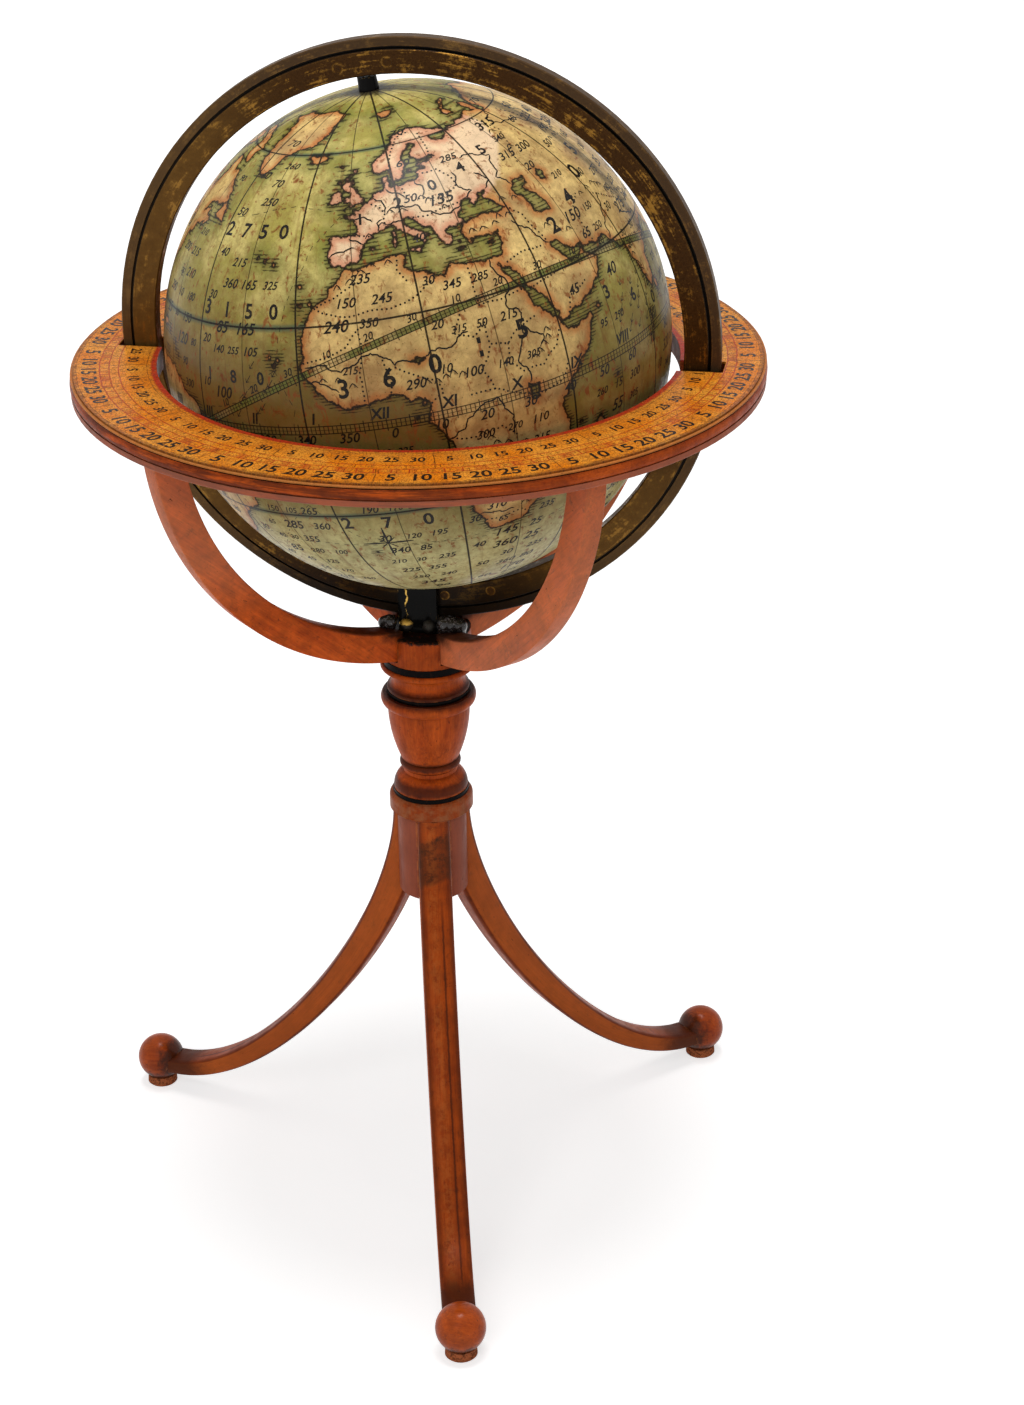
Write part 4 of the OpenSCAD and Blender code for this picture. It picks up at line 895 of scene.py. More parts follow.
def make_map_finish(look, axes):
    """Printed and washed map paper under old varnish."""
    material, kit = finish("varnished_map_print", 0.05, Coat_Weight=0.13, Coat_Roughness=0.2)
    radius = GLOBE_R / MM
    arc = radius * DEGREE
    place = kit.object_place(CENTRE, axes)
    from_axis, lon, z = kit.polar(place)
    sine = kit.math("MINIMUM", kit.math("MAXIMUM", z / radius, -1.0), 1.0)
    lat = kit.math("ARCSINE", sine) / DEGREE
    turn = from_axis * DEGREE
    line = look.line / MM
    flat = look.latitude_scale

    # Graticule and its two scales
    def ladder(north, degrees_along, half):
        """A scale of two rails, with a rung for each degree and a mark for each fifth."""
        rails = kit.most(kit.line(north - half, 0.14), kit.line(north, 0.07))
        rungs = kit.line(kit.every(degrees_along, 1) * arc, 0.13, 0.05)
        rungs = rungs * kit.step(north, half + 0.02, half)
        marks = kit.line(kit.every(degrees_along, 5) * arc, 0.14)
        return kit.most(rails, rungs, marks * kit.step(north, half + 0.4, half + 0.34))

    tropic = abs(abs(lat) - 23.5 * flat) * arc
    polar = abs(abs(lat) - 66.5 * flat) * arc
    node_dir, up = ecliptic_axes(look)
    north = abs(kit.dot(place, up))
    ahead = kit.dot(place, node_dir)
    ecl_lon = kit.math("ARCTAN2", kit.dot(place, up.cross(node_dir)), ahead) / DEGREE
    half = look.ladder / MM / 2
    narrow = half * 0.84
    ink = kit.most(kit.line(kit.every(lon, 30, 12) * turn, line),
                   kit.line(kit.every(lon, 30, 27) * turn, line * 0.5) * 0.85,
                   kit.line(tropic, line), kit.line(polar, line * 0.8),
                   ladder(abs(lat) * arc, lon, half), ladder(north, ecl_lon, narrow))

    # Coasts, with the engraver's waver added to the attribute
    coast = kit.attribute("coast") * 1000.0 + (
        kit.ragged(place, 1.1, 3.0, 0.6, 0.9) + kit.ragged(place, 3.4, 2.0, 0.5, 0.35))
    land = kit.step(coast, -0.03, 0.03)
    off_land = kit.step(coast, 0.02, -0.04)
    uneven = kit.noise(place, 2.2)
    width = look.coast_line / MM
    outline = kit.step(abs(coast), width * 0.5 + 0.08, width * 0.25)
    outline = outline * kit.step(uneven, 0.28, 0.42, 0.8, 1.0)
    reach = kit.noise(kit.stretched(place, (0.5, 0.5, 3.0)), 1.0) * 2.2 - 0.4
    hatch = kit.line(kit.every(z + (uneven - 0.5) * 0.2, 0.42), 0.16, 0.05)
    hatch = hatch * kit.step(coast + reach, -0.15, 0.15) * off_land
    desert = kit.step(kit.noise(place, 0.1), 0.5, 0.56)
    stipple = kit.step(kit.cells(place, 1.5), 0.15, 0.1) * desert * land
    ink = kit.most(ink, outline, hatch * 0.85, stipple * 0.6)

    # Washes, with painted shade over the horizon and painted light from the floor below it, by the
    # height above the table
    mottle = kit.noise(place, 0.9, 5.0, 0.7)
    pink = kit.attribute("europe")
    side, _, height = kit.split(kit.object_place())
    below, near, dusk_full, dusk_top = 112.0, 131.0, 134.0, 156.0
    dusk = kit.step(height, dusk_top, dusk_full) * kit.step(height, below, near)
    sea = kit.over(
        look.sea,
        (kit.step(kit.noise(place, 0.16, 4.0, 0.6), 0.36, 0.62), look.deep),
        (kit.step(coast + (mottle - 0.5) * 3.0, -3.4, -0.4) * 0.5, look.green),
        (kit.step(coast, -0.9, -0.05) * off_land * 0.45, (0.035, 0.035, 0.012)),
        # Painted light from the floor below the horizon, then painted shade above it, darker on the
        # left
        (kit.step(height, 128.0, below) * 0.75, (0.72, 0.68, 0.34)),
        (dusk * kit.step(side, -6.0, 20.0, 0.88, 0.6), (0.12, 0.065, 0.01)))
    soil = kit.over(
        look.land,
        (kit.step(kit.noise(place, 0.24, 4.0), 0.35, 0.7), (0.58, 0.36, 0.14)),
        (pink * 0.85, look.europe),
        (kit.step(coast + (mottle - 0.5) * 1.4, 1.5, 0.2) * 0.7,
         kit.mix(pink, look.wash, (0.66, 0.21, 0.11))),
        # Painted shade over the horizon
        (dusk * 0.32, (0.24, 0.13, 0.035)))
    blue = kit.most(kit.step(tropic, 0.75, 0.15), kit.step(polar, 0.6, 0.1)) * 0.75
    band = kit.step(north, narrow + 0.05, narrow - 0.05)
    stretch = kit.step(kit.noise(kit.join(ecl_lon * 0.06, 0.0, 0.0), 1.0, 1.0), 0.4, 0.48)

    # Age: mottled varnish, foxing, streaks and the dark ring at the collars
    # Less mottle over Europe and the far north; over Europe this is in part a painted highlight
    clear = kit.most(pink, kit.step(lat, 52.0, 62.0)) * 0.75
    streak = kit.noise(kit.join(lon * 0.35, lat * 0.03, 0.0), 1.0, 4.0, 0.65)
    fox = kit.group("foxing", Vector=place, Amount=0.85)
    blush = kit.group("foxing", Vector=kit.stretched(place, (2.0, 2.0, 1.0)), Amount=1.15)
    print_wear = kit.step(kit.noise(place, 2.4, 3.0, 0.7), 0.26, 0.46, 0.78, 1.0)
    crack = kit.group("crazing", Vector=place, Size=1.1, Width=0.035)["Crack"]
    paint = kit.over(
        kit.mix(land, sea, soil),
        (blue * (1.0 - land * 0.85), (0.03, 0.1, 0.075)),
        (band * 0.35, (0.55, 0.42, 0.2)),
        (band * stretch * 0.85, look.green),
        (kit.step(mottle, 0.36, 0.7) * 0.42 * (1.0 - clear), (0.24, 0.13, 0.04)),
        (kit.step(streak, 0.54, 0.74) * 0.45 * (1.0 - land * 0.6), look.brown),
        (blush["Spot"] * 0.8, (0.26, 0.06, 0.014)),
        (fox["Spot"] * 0.8, look.brown),
        (fox["Stain"] * 0.35, (0.14, 0.075, 0.02)),
        (ink * print_wear * 0.96, look.ink),
        (crack * 0.22, (0.09, 0.05, 0.02)),
        (kit.step(from_axis + (mottle - 0.5) * 5.0, 4.4, 1.9) * 0.9, (0.018, 0.014, 0.012)))
    relief = kit.noise(place, 1.6, 4.0, 0.6) - crack * 0.5 + ink * 0.1
    kit.surface(Base_Color=paint, Roughness=kit.step(mottle, 0.3, 0.7, 0.36, 0.52),
                Normal=kit.bump(relief, 0.22, 0.06 * MM))
    return material


class POCKET_GLOBE_OT_map_ball(bpy.types.Operator):
    """Build the ball with its coasts and washes"""

    bl_idname = "pocket_globe.map_ball"
    bl_label = "Map ball"

    fine_band = 0.55 * MM

    def execute(self, context):
        look = context.scene.pocket_globe_map
        axes = map_axes(look)
        coasts = Coasts(look)
        bm = bmesh.new()

        def from_coast():
            """Each corner's distance to the coast, and whether it is in Europe."""
            return coasts.distance(np.array([vert.co for vert in bm.verts]))

        bmesh.ops.create_icosphere(bm, subdivisions=7, radius=GLOBE_R)
        bm.verts.ensure_lookup_table()
        signed = from_coast()[0]
        near = [edge for edge in bm.edges
                if min(abs(signed[vert.index]) for vert in edge.verts) < self.fine_band]
        bmesh.ops.subdivide_edges(bm, edges=near, cuts=1, use_grid_fill=True)
        bmesh.ops.triangulate(bm, faces=bm.faces)
        for vert in bm.verts:
            vert.co = vert.co.normalized() * GLOBE_R
        coast = bm.verts.layers.float.new("coast")
        europe = bm.verts.layers.float.new("europe")
        for vert, value, pink in zip(bm.verts, *from_coast()):
            vert[coast] = value
            vert[europe] = float(pink)
        turn = axes.transposed().to_4x4()
        bmesh.ops.transform(bm, matrix=Matrix.Translation(CENTRE) @ turn, verts=bm.verts)
        ball = piece("map_ball", bm, make_map_finish(look, axes), "globe",
                     ["globe_map"])
        normals = [(vert.co - CENTRE).normalized() for vert in ball.data.vertices]
        ball.data.normals_split_custom_set_from_vertices(normals)
        return {"FINISHED"}


class Pen:
    """Draws flat marks in ink a hair above a surface."""

    lift = 0.018 * MM

    def __init__(self):
        self.bm = bmesh.new()

    def stroke(self, rows, width):
        """A stroke through rows of a place and the surface's upward direction there."""
        last = len(rows) - 1
        pairs = []
        for index, (place, up) in enumerate(rows):
            ahead = rows[min(index + 1, last)][0] - rows[max(index - 1, 0)][0]
            across = up.cross(ahead).normalized() * width / 2
            if index in (0, last):
                across = across * 0.45
            raised = place + up * self.lift
            pairs.append((raised + across, raised - across))
        edge = self.bm.edges.new([self.bm.verts.new(point) for point in pairs[0]])
        for left, right in pairs[1:]:
            made = bmesh.ops.extrude_edge_only(self.bm, edges=[edge])["geom"]
            first = edge.verts[0].co.copy()
            ends = [item for item in made if isinstance(item, bmesh.types.BMVert)]
            ends.sort(key=lambda vert: (vert.co - first).length)
            ends[0].co, ends[1].co = left, right
            edge = next(item for item in made if isinstance(item, bmesh.types.BMEdge)
                        and set(item.verts) == set(ends))

    def dot(self, place, up, size):
        """A round dot."""
        turn = up.to_track_quat("Z", "Y").to_matrix().to_4x4()
        bmesh.ops.create_circle(
            self.bm, cap_ends=True, segments=6, radius=size / 2,
            matrix=Matrix.Translation(place + up * self.lift) @ turn)

    def number(self, shape, wrap):
        """A number's flat mesh, laid on a surface by wrap(x, y)."""
        before = len(self.bm.verts)
        self.bm.from_mesh(shape)
        self.bm.verts.ensure_lookup_table()
        for vert in self.bm.verts[before:]:
            place, up = wrap(vert.co.x, vert.co.y)
            vert.co = place + up * self.lift

    def face_out(self, up_at):
        """Turns every face to look outwards."""
        self.bm.normal_update()
        wrong = [face for face in self.bm.faces
                 if face.normal.dot(up_at(face.calc_center_median())) < 0]
        bmesh.ops.reverse_faces(self.bm, faces=wrong)


def number_shapes(texts, slant, weight):
    """Flat meshes of numbers one unit high, centred, by their text."""
    holders = {}
    for text in sorted(set(texts)):
        curve = bpy.data.curves.new("number", "FONT")
        curve.body = text
        curve.size = 1.38
        curve.shear = slant
        curve.offset = weight
        curve.resolution_u = 3
        curve.align_x = "CENTER"
        curve.align_y = "CENTER"
        holders[text] = add_object("number", curve)
    graph = bpy.context.evaluated_depsgraph_get()
    shapes = {text: bpy.data.meshes.new_from_object(holder.evaluated_get(graph))
              for text, holder in holders.items()}
    for holder in holders.values():
        curve = holder.data
        bpy.data.objects.remove(holder)
        bpy.data.curves.remove(curve)
    return shapes


def make_ink(name, ink):
    """Printing ink, a little uneven and worn."""
    material, kit = finish(name, Coat_Weight=0.15, Coat_Roughness=0.2)
    worn = kit.step(kit.noise(kit.object_place(), 2.6, 3.0, 0.7), 0.5, 0.8)
    kit.surface(Base_Color=kit.mix(worn * 0.5, ink, (0.16, 0.1, 0.05)),
                Roughness=kit.step(worn, 0.0, 1.0, 0.45, 0.6))
    return material


class MapPen(Pen):
    """Draws on the globe at longitudes and latitudes in degrees."""

    # A hill's outline and its two shading strokes: width in millimetres, then points
    hill = ((0.17, (-1, 0), (-0.6, 0.6), (-0.1, 1), (0.45, 0.65), (1, 0)),
            (0.14, (0.3, 0.6), (0.2, 0.1)), (0.14, (0.55, 0.475), (0.45, 0.1)))
    arrows = 58, 62, 66, 70, 86, -30, -36, -150, -140, -120, 160
    star = -8.0, -33.5
    # What small figures keep clear of: coasts, the ecliptic, large figures, and the bold
    # meridians by millimetres. A digit's width is a share of its height.
    coast_gap, scale_gap, large_gap = 0.85 * MM, 1.5 * MM, 1.9 * MM
    meridian_gap = 3.4
    digit_width = 0.62

    def __init__(self, look, dice):
        super().__init__()
        self.look = look
        self.dice = dice
        self.turn = map_axes(look).transposed()

    def at(self, lon, lat):
        """A place on the globe and its upward direction."""
        up = self.turn @ Vector(globe_points((lon, lat), self.look, 1.0)[0])
        return CENTRE + up * GLOBE_R, up

    def along(self, line, longest, sway):
        """Places and upward directions along a line of the atlas."""
        return [self.at(*point) for point in wavering(line, self.dice, False, longest, sway)]

    def trace(self, points, width):
        """A stroke through points, with its width in millimetres."""
        self.stroke([self.at(*point) for point in points], width * MM)

    def dots(self, rows, gap, size):
        """A row of dots along a line."""
        left = 0.0
        for (start, start_up), (end, end_up) in zip(rows, rows[1:]):
            length = (end - start).length
            while left < length:
                part = left / length
                up = (start_up * (1 - part) + end_up * part).normalized()
                self.dot(CENTRE + up * GLOBE_R, up, size)
                left += gap
            left -= length

    def hills(self, ridge):
        """Small hills with a few shading strokes."""
        for lon, lat in wavering(ridge, self.dice, False, 3.4, 0.1):
            lon += self.dice.uniform(-0.5, 0.5)
            lat += self.dice.uniform(-0.5, 0.5)
            wide = self.dice.uniform(0.75, 1.05) / max(0.35, math.cos(lat * DEGREE))
            tall = self.dice.uniform(0.9, 1.3)
            for width, *shape in self.hill:
                self.trace([(lon + wide * x, lat + tall * y) for x, y in shape], width)

    def winds(self):
        """Short arrows that show the winds over the warm seas."""
        for lon in self.arrows:
            for step in range(5):
                x = lon + step * 1.3
                y = self.dice.uniform(2, 4) + step * 2.6
                self.trace([(x, y), (x + 1.3, y + 1.7)], 0.22)
                self.trace([(x - 0.1, y + 0.9), (x, y), (x + 0.9, y + 0.2)], 0.16)

    def compass(self):
        """A plain star of eight points in the southern ocean."""
        lon, lat = self.star
        shrink = math.cos(lat * DEGREE)
        for step in range(8):
            turn = step * 45 * DEGREE
            reach, width = ((5.6, 0.34), (2.6, 0.2))[step % 2]
            self.trace([(lon + part * reach * math.cos(turn) / shrink,
                         lat + part * reach * math.sin(turn)) for part in (0.0, 0.5, 1.0)], width)

    def number_at(self, shape, lon, lat, height):
        """A number along a parallel, with its height in millimetres."""
        reach = GLOBE_R * DEGREE
        size = height * MM
        across = reach * math.cos(lat * DEGREE)
        up_scale = reach * self.look.latitude_scale
        self.number(shape, lambda x, y: self.at(lon + x * size / across, lat + y * size / up_scale))

    def number_on_ecliptic(self, shape, angle, size=1.0 * MM, off=1.15 * MM):
        """A number on the north side of the ecliptic's scale."""
        node, tilt = ecliptic_axes(self.look)
        side = tilt.cross(node)

        def wrap(x, y):
            lon = angle * DEGREE + x * size / GLOBE_R
            lat = (y * size + off) / GLOBE_R
            flat = node * math.cos(lon) + side * math.sin(lon)
            up = self.turn @ (flat * math.cos(lat) + tilt * math.sin(lat))
            return CENTRE + up * GLOBE_R, up

        self.number(shape, wrap)

    def figures(self, shapes, large):
        """Rows of small figures, clear of the coasts, the scales and the large figures."""
        coasts = Coasts(self.look)
        lons = np.arange(-180, 180, 0.5)
        for lat in (*range(-67, -6, 5), *range(8, 74, 5)):
            shrink = GLOBE_R / MM * DEGREE * math.cos(lat * DEGREE)
            places = globe_points([(lon, lat) for lon in lons], self.look)
            free = np.abs(coasts.distance(places)[0]) > self.coast_gap
            free &= np.abs(places @ np.array(ecliptic_axes(self.look)[1])) > self.scale_gap
            free &= (lons - 11) % 30 * shrink > self.meridian_gap
            for point in large:
                free &= np.linalg.norm(places - point, axis=1) > self.large_gap
            text, run = "", 0.0
            for lon, is_free in zip(lons, free):
                if not text:
                    text = str(self.dice.randrange(2, 73) * 5)
                    size = self.dice.choice((1.0, 1.1, 1.2, 1.3, 1.6))
                    gap = self.dice.uniform(0.6, 2.4)
                run = run + 0.5 if is_free else 0.0
                if run * shrink > len(text) * self.digit_width * size + gap:
                    self.number_at(shapes[text], lon - run / 2, lat, size)
                    text, run = "", 0.0

    def lay(self, name, ink):
        """Makes what is drawn a piece of the map."""
        self.face_out(lambda point: (point - CENTRE).normalized())
        piece(name, self.bm, ink, "globe")


class POCKET_GLOBE_OT_map_print(bpy.types.Operator):
    """Draw rivers, borders, hills, ships' tracks and the numbers of the scales"""

    bl_idname = "pocket_globe.map_print"
    bl_label = "Map print"

    def execute(self, context):
        look = context.scene.pocket_globe_map
        dice = random.Random(21)
        ink = make_ink("map_ink", look.ink)
        pen = MapPen(look, dice)
        for river in RIVERS:
            pen.stroke(pen.along(river, 0.9, 0.2), 0.2 * MM)
        for border in BORDERS:
            pen.dots(pen.along(border, 3.0, 0.08), 0.62 * MM, 0.3 * MM)
        for track in TRACKS:
            rows = pen.along(track, 2.0, 0.04)
            for index in range(0, len(rows) - 1, 2):
                pen.stroke(rows[index:index + 2], 0.16 * MM)
        for ridge in RANGES:
            pen.hills(ridge)
        pen.winds()
        pen.compass()
        pen.lay("map_drawing", ink)

        pen = MapPen(look, dice)
        plain = number_shapes([str(n) for n in range(0, 361, 5)], 0.3, 0.02)
        hours = number_shapes(ROMAN, 0.2, 0.035)
        for step in range(36):
            pen.number_at(plain[str(step * 10)], step * 10 + 1.1, -2.4, 1.35)
            pen.number_on_ecliptic(plain[str((step % 3 + 1) * 10)], step * 10 + 9.0)
        for step in range(24):
            pen.number_at(hours[ROMAN[-step % 12]], step * 15 - 1.2, 2.6, 1.5)
        for lon in range(12, 372, 60):
            for lat in (-60, -50, -40, -30, -10, 10, 20, 30, 40, 50, 60, 70):
                pen.number_at(plain[str(abs(lat))], lon + 2.4 / math.cos(lat * DEGREE), lat, 1.2)
        bold = number_shapes("0123456789", 0.0, 0.03)
        large = []
        for start, end, row, size in ROWS:
            for index, digit in enumerate(row):
                part = index / (len(row) - 1)
                large.append([start[side] * (1 - part) + end[side] * part for side in (0, 1)])
                pen.number_at(bold[digit], *large[-1], size)
        pen.figures(plain, globe_points(large, look))
        pen.lay("map_numbers", ink)
        return {"FINISHED"}


# Inside of the globe


class POCKET_GLOBE_OT_inner_parts(bpy.types.Operator):
    """Finish the paper shells, the axle and the pole pins"""

    bl_idname = "pocket_globe.inner_parts"
    bl_label = "Inner parts"

    def execute(self, context):
        material, kit = finish("paper_pulp_shell")
        place = kit.object_place()
        pulp = kit.noise(place, 0.9, 5.0, 0.7)
        fibre = kit.noise(kit.stretched(place, (1, 0.3, 1)), 4.0, 3.0, 0.6)
        kit.surface(Base_Color=kit.mix(pulp, (0.36, 0.25, 0.14), (0.66, 0.53, 0.36)),
                    Roughness=kit.step(fibre, 0.3, 0.7, 0.8, 0.95),
                    Normal=kit.bump(pulp + fibre, 0.5, 0.15 * MM))
        dress(material, "globe_north_shell", "globe_south_shell")
        material, kit = finish("plain_limewood")
        place = kit.object_place(CENTRE, map_axes(context.scene.pocket_globe_map))
        grain = kit.group("wood_grain", Vector=place, Light=(0.62, 0.42, 0.22),
                          Dark=(0.42, 0.25, 0.11), Pores=0.2, Figure=0.6)
        kit.surface(Base_Color=grain["Color"],
                    Roughness=kit.step(grain["Mask"], 0.0, 1.0, 0.72, 0.6),
                    Normal=kit.bump(grain["Height"], 0.3))
        dress(material, "globe_axle", "arm_dowels", "horizon_pegs")
        material, kit = finish("steel_wire", Metallic=1.0)
        spots = kit.step(kit.noise(kit.object_place(), 2.5, 4.0, 0.7), 0.52, 0.7)
        steel = context.scene.pocket_globe_metal.steel
        kit.surface(Base_Color=kit.mix(spots, steel, (0.12, 0.07, 0.04)),
                    Roughness=kit.step(spots, 0.0, 1.0, 0.28, 0.7))
        dress(material, "north_pole_pin", "south_pole_pin")
        return {"FINISHED"}


# Meridian ring


def make_old_brass(name, dark, worn, amount, turned=True):
    """Brown patina over brass, rubbed through in places, under a thin old lacquer."""
    material, kit = finish(name, 0.05, Coat_Weight=0.04, Coat_Roughness=0.22)
    if turned:
        across = POLE.cross(RING_AXIS)
        place = kit.object_place(CENTRE, Matrix((across, RING_AXIS.cross(across), RING_AXIS)))
        radius, angle, along = kit.polar(place)
        streak = kit.noise(kit.join(radius * 2.6, angle * 0.06, along * 1.5), 1.0, 4.0, 0.7)
    else:
        place = kit.object_place()
        streak = kit.noise(place, 1.3, 4.0, 0.7)
    cloud = kit.noise(place, 0.4, 5.0, 0.7, 0.3)
    fleck = kit.noise(place, 2.4, 4.0, 0.75)
    wear_and_shade = kit.group("wear_dirt_and_shade", Vector=place, Edge=0.35 * MM, Corner=1.6 * MM)
    mixed = cloud * 0.5 + streak * 0.35 + fleck * 0.25
    rubbed = kit.step(mixed, 0.63 - amount * 0.2, 0.72 - amount * 0.2)
    rubbed = kit.most(rubbed * 0.8, wear_and_shade["Wear"] * 0.8)
    tint = kit.over(
        dark,
        (kit.step(fleck, 0.35, 0.7), [part * 1.8 for part in dark]),
        (rubbed, worn),
        (kit.step(fleck, 0.56, 0.66) * 0.85, (0.011, 0.007, 0.005)),
        # Dirt and painted shade in corners and between parts
        (wear_and_shade["Grime"] * 0.9, (0.006, 0.004, 0.003)))
    if turned:
        edge = RING_RIM / MM
        rim = kit.step(radius, edge - 0.05, edge + 0.05)
        dark_line = kit.step(radius, edge - 0.5, edge - 0.38) * (1.0 - rim)
        # Warmer and lighter towards the left and the lower right, and darker towards the bottom by
        # the fork
        x, _, height = kit.split(kit.object_place())
        warm = kit.most(kit.step(x, -14.0, -34.0),
                        kit.step(x, 4.0, 22.0) * kit.step(height, 124.0, 112.0))
        tint = kit.over(
            tint,
            (warm * (cloud + 0.1), (0.19, 0.095, 0.02)),
            (rim * 0.55, (0.085, 0.052, 0.027)),
            (kit.step(height, 106.0, 95.0) * 0.9, (0.008, 0.005, 0.003)),
            (dark_line * 0.95, (0.002, 0.0015, 0.001)))
        rubbed = rubbed * (1.0 - rim * 0.6)
    kit.surface(Base_Color=tint, Metallic=kit.step(rubbed, 0.0, 0.6, 0.4, 0.95),
                Roughness=kit.step(rubbed + fleck * 0.3, 0.1, 0.9, 0.5, 0.33),
                Normal=kit.bump(streak + fleck * 0.6, 0.25))
    return material


def make_japan(name, edge):
    """Black varnish on brass, with gold showing where it has worn."""
    look = bpy.context.scene.pocket_globe_metal
    material, kit = finish(name, 0.03, Coat_Weight=0.06, Coat_Roughness=0.12)
    place = kit.object_place()
    wear_and_shade = kit.group("wear_dirt_and_shade", Vector=place, Edge=edge, Corner=0.8 * MM)
    patch = kit.noise(place, 1.4, 4.0, 0.7, 0.3)
    worn = wear_and_shade["Wear"] * kit.step(patch, 0.54, 0.66)
    worn = kit.most(worn, kit.step(kit.noise(place, 3.2, 3.0, 0.6), 0.74, 0.77) * 0.8)
    dust = kit.step(kit.noise(place, 5.0, 3.0, 0.7), 0.55, 0.8) * 0.2
    kit.surface(Base_Color=kit.over(look.japan, (dust, (0.035, 0.028, 0.024)), (worn, look.bright)),
                Metallic=worn, Roughness=kit.step(patch, 0.3, 0.7, 0.2, 0.4),
                Normal=kit.bump(patch - worn * 0.6, 0.2))
    return material


def gild(material, mask):
    """Adds gold to a finished material. mask(kit) gives where."""
    kit = Kit(material.node_tree)
    sockets = material.node_tree.nodes["Principled BSDF"].inputs
    gold = mask(kit)
    tint, metal = (Wire(kit, sockets[name].links[0].from_socket)
                   for name in ("Base Color", "Metallic"))
    kit.surface(Base_Color=kit.mix(gold, tint, bpy.context.scene.pocket_globe_metal.bright),
                Metallic=kit.most(metal, gold))


class POCKET_GLOBE_OT_meridian(bpy.types.Operator):
    """Finish the brass ring, its pivot blocks and rivets, and the black collars"""

    bl_idname = "pocket_globe.meridian"
    bl_label = "Meridian ring"

    def execute(self, context):
        look = context.scene.pocket_globe_metal
        dress(make_old_brass("aged_brass_ring", look.patina, look.worn, 0.35), "meridian_ring")
        dress(make_old_brass("aged_brass_blocks", look.patina, look.worn, 0.2),
              "north_pivot_block", "south_pivot_block")
        dress(make_old_brass("brass_rivets", look.patina, look.worn, 0.1, turned=False),
              "north_rivets", "south_rivets")
        dress(make_japan("black_collar_japan", 0.25 * MM), "north_pole_collar", "south_pole_collar")
        return {"FINISHED"}


# Wood


def make_wood(name, place_from, marks, tint, rough=0.36, coat=0.06):
    """Stained wood under old varnish. place_from(kit) gives the grain's own place, and
    marks(kit) the masks and colours of what is the piece's own."""
    look = bpy.context.scene.pocket_globe_wood
    material, kit = finish(name, 0.05, Coat_Weight=coat, Coat_Roughness=0.2)
    place = place_from(kit)
    grain = kit.group("wood_grain", Vector=place, Light=[part * tint for part in look.light],
                      Dark=[part * tint for part in look.dark], Pores=0.45, Figure=0.5)
    wear_and_shade = kit.group("wear_dirt_and_shade", Vector=place, Edge=0.3 * MM, Corner=2.2 * MM)
    patch = kit.noise(place, 0.35, 4.0, 0.65)
    smudge = kit.step(kit.noise(place, 0.5, 5.0, 0.75), 0.56, 0.7)
    nick = kit.step(kit.noise(kit.stretched(place, (1, 1, 0.4)), 2.2, 3.0, 0.7), 0.68, 0.73)
    tone = kit.over(
        grain["Color"],
        (kit.step(patch, 0.35, 0.72) * 0.38, (0.1, 0.022, 0.008)),
        (smudge * 0.45, (0.045, 0.014, 0.007)),
        *marks(kit),
        (wear_and_shade["Wear"] * 0.5, look.worn),
        # Dirt and painted shade in corners and between parts
        (wear_and_shade["Grime"] * 0.85, look.grime),
        (nick * 0.8, (0.02, 0.009, 0.005)))
    relief = grain["Height"] * 0.6 - nick * 1.5 + kit.noise(place, 1.2, 3.0) * 0.8
    kit.surface(Base_Color=tone, Roughness=kit.step(patch, 0.3, 0.7, rough, rough + 0.2),
                Normal=kit.bump(relief, 0.22))
    return material


def upright_grain(kit):
    """Grain that runs up the pillar."""
    return kit.object_place(COLUMN)


def board_grain(kit):
    """Grain that runs across the horizon, as in a board."""
    axes = Matrix.Rotation(math.pi / 2, 3, "Y") @ Matrix.Rotation(HEAD_TURN + 0.5, 3, "Z")
    return kit.object_place(COLUMN, axes)


def own_grain(kit):
    """Grain that follows the piece, kept on its mesh in millimetres."""
    return kit.attribute("grain", "Vector")


def head_place(kit):
    """Places from the column's axis, with X to the right of the turned head."""
    return kit.object_place(COLUMN, Matrix.Rotation(-HEAD_TURN, 3, "Z"))


# Horizon


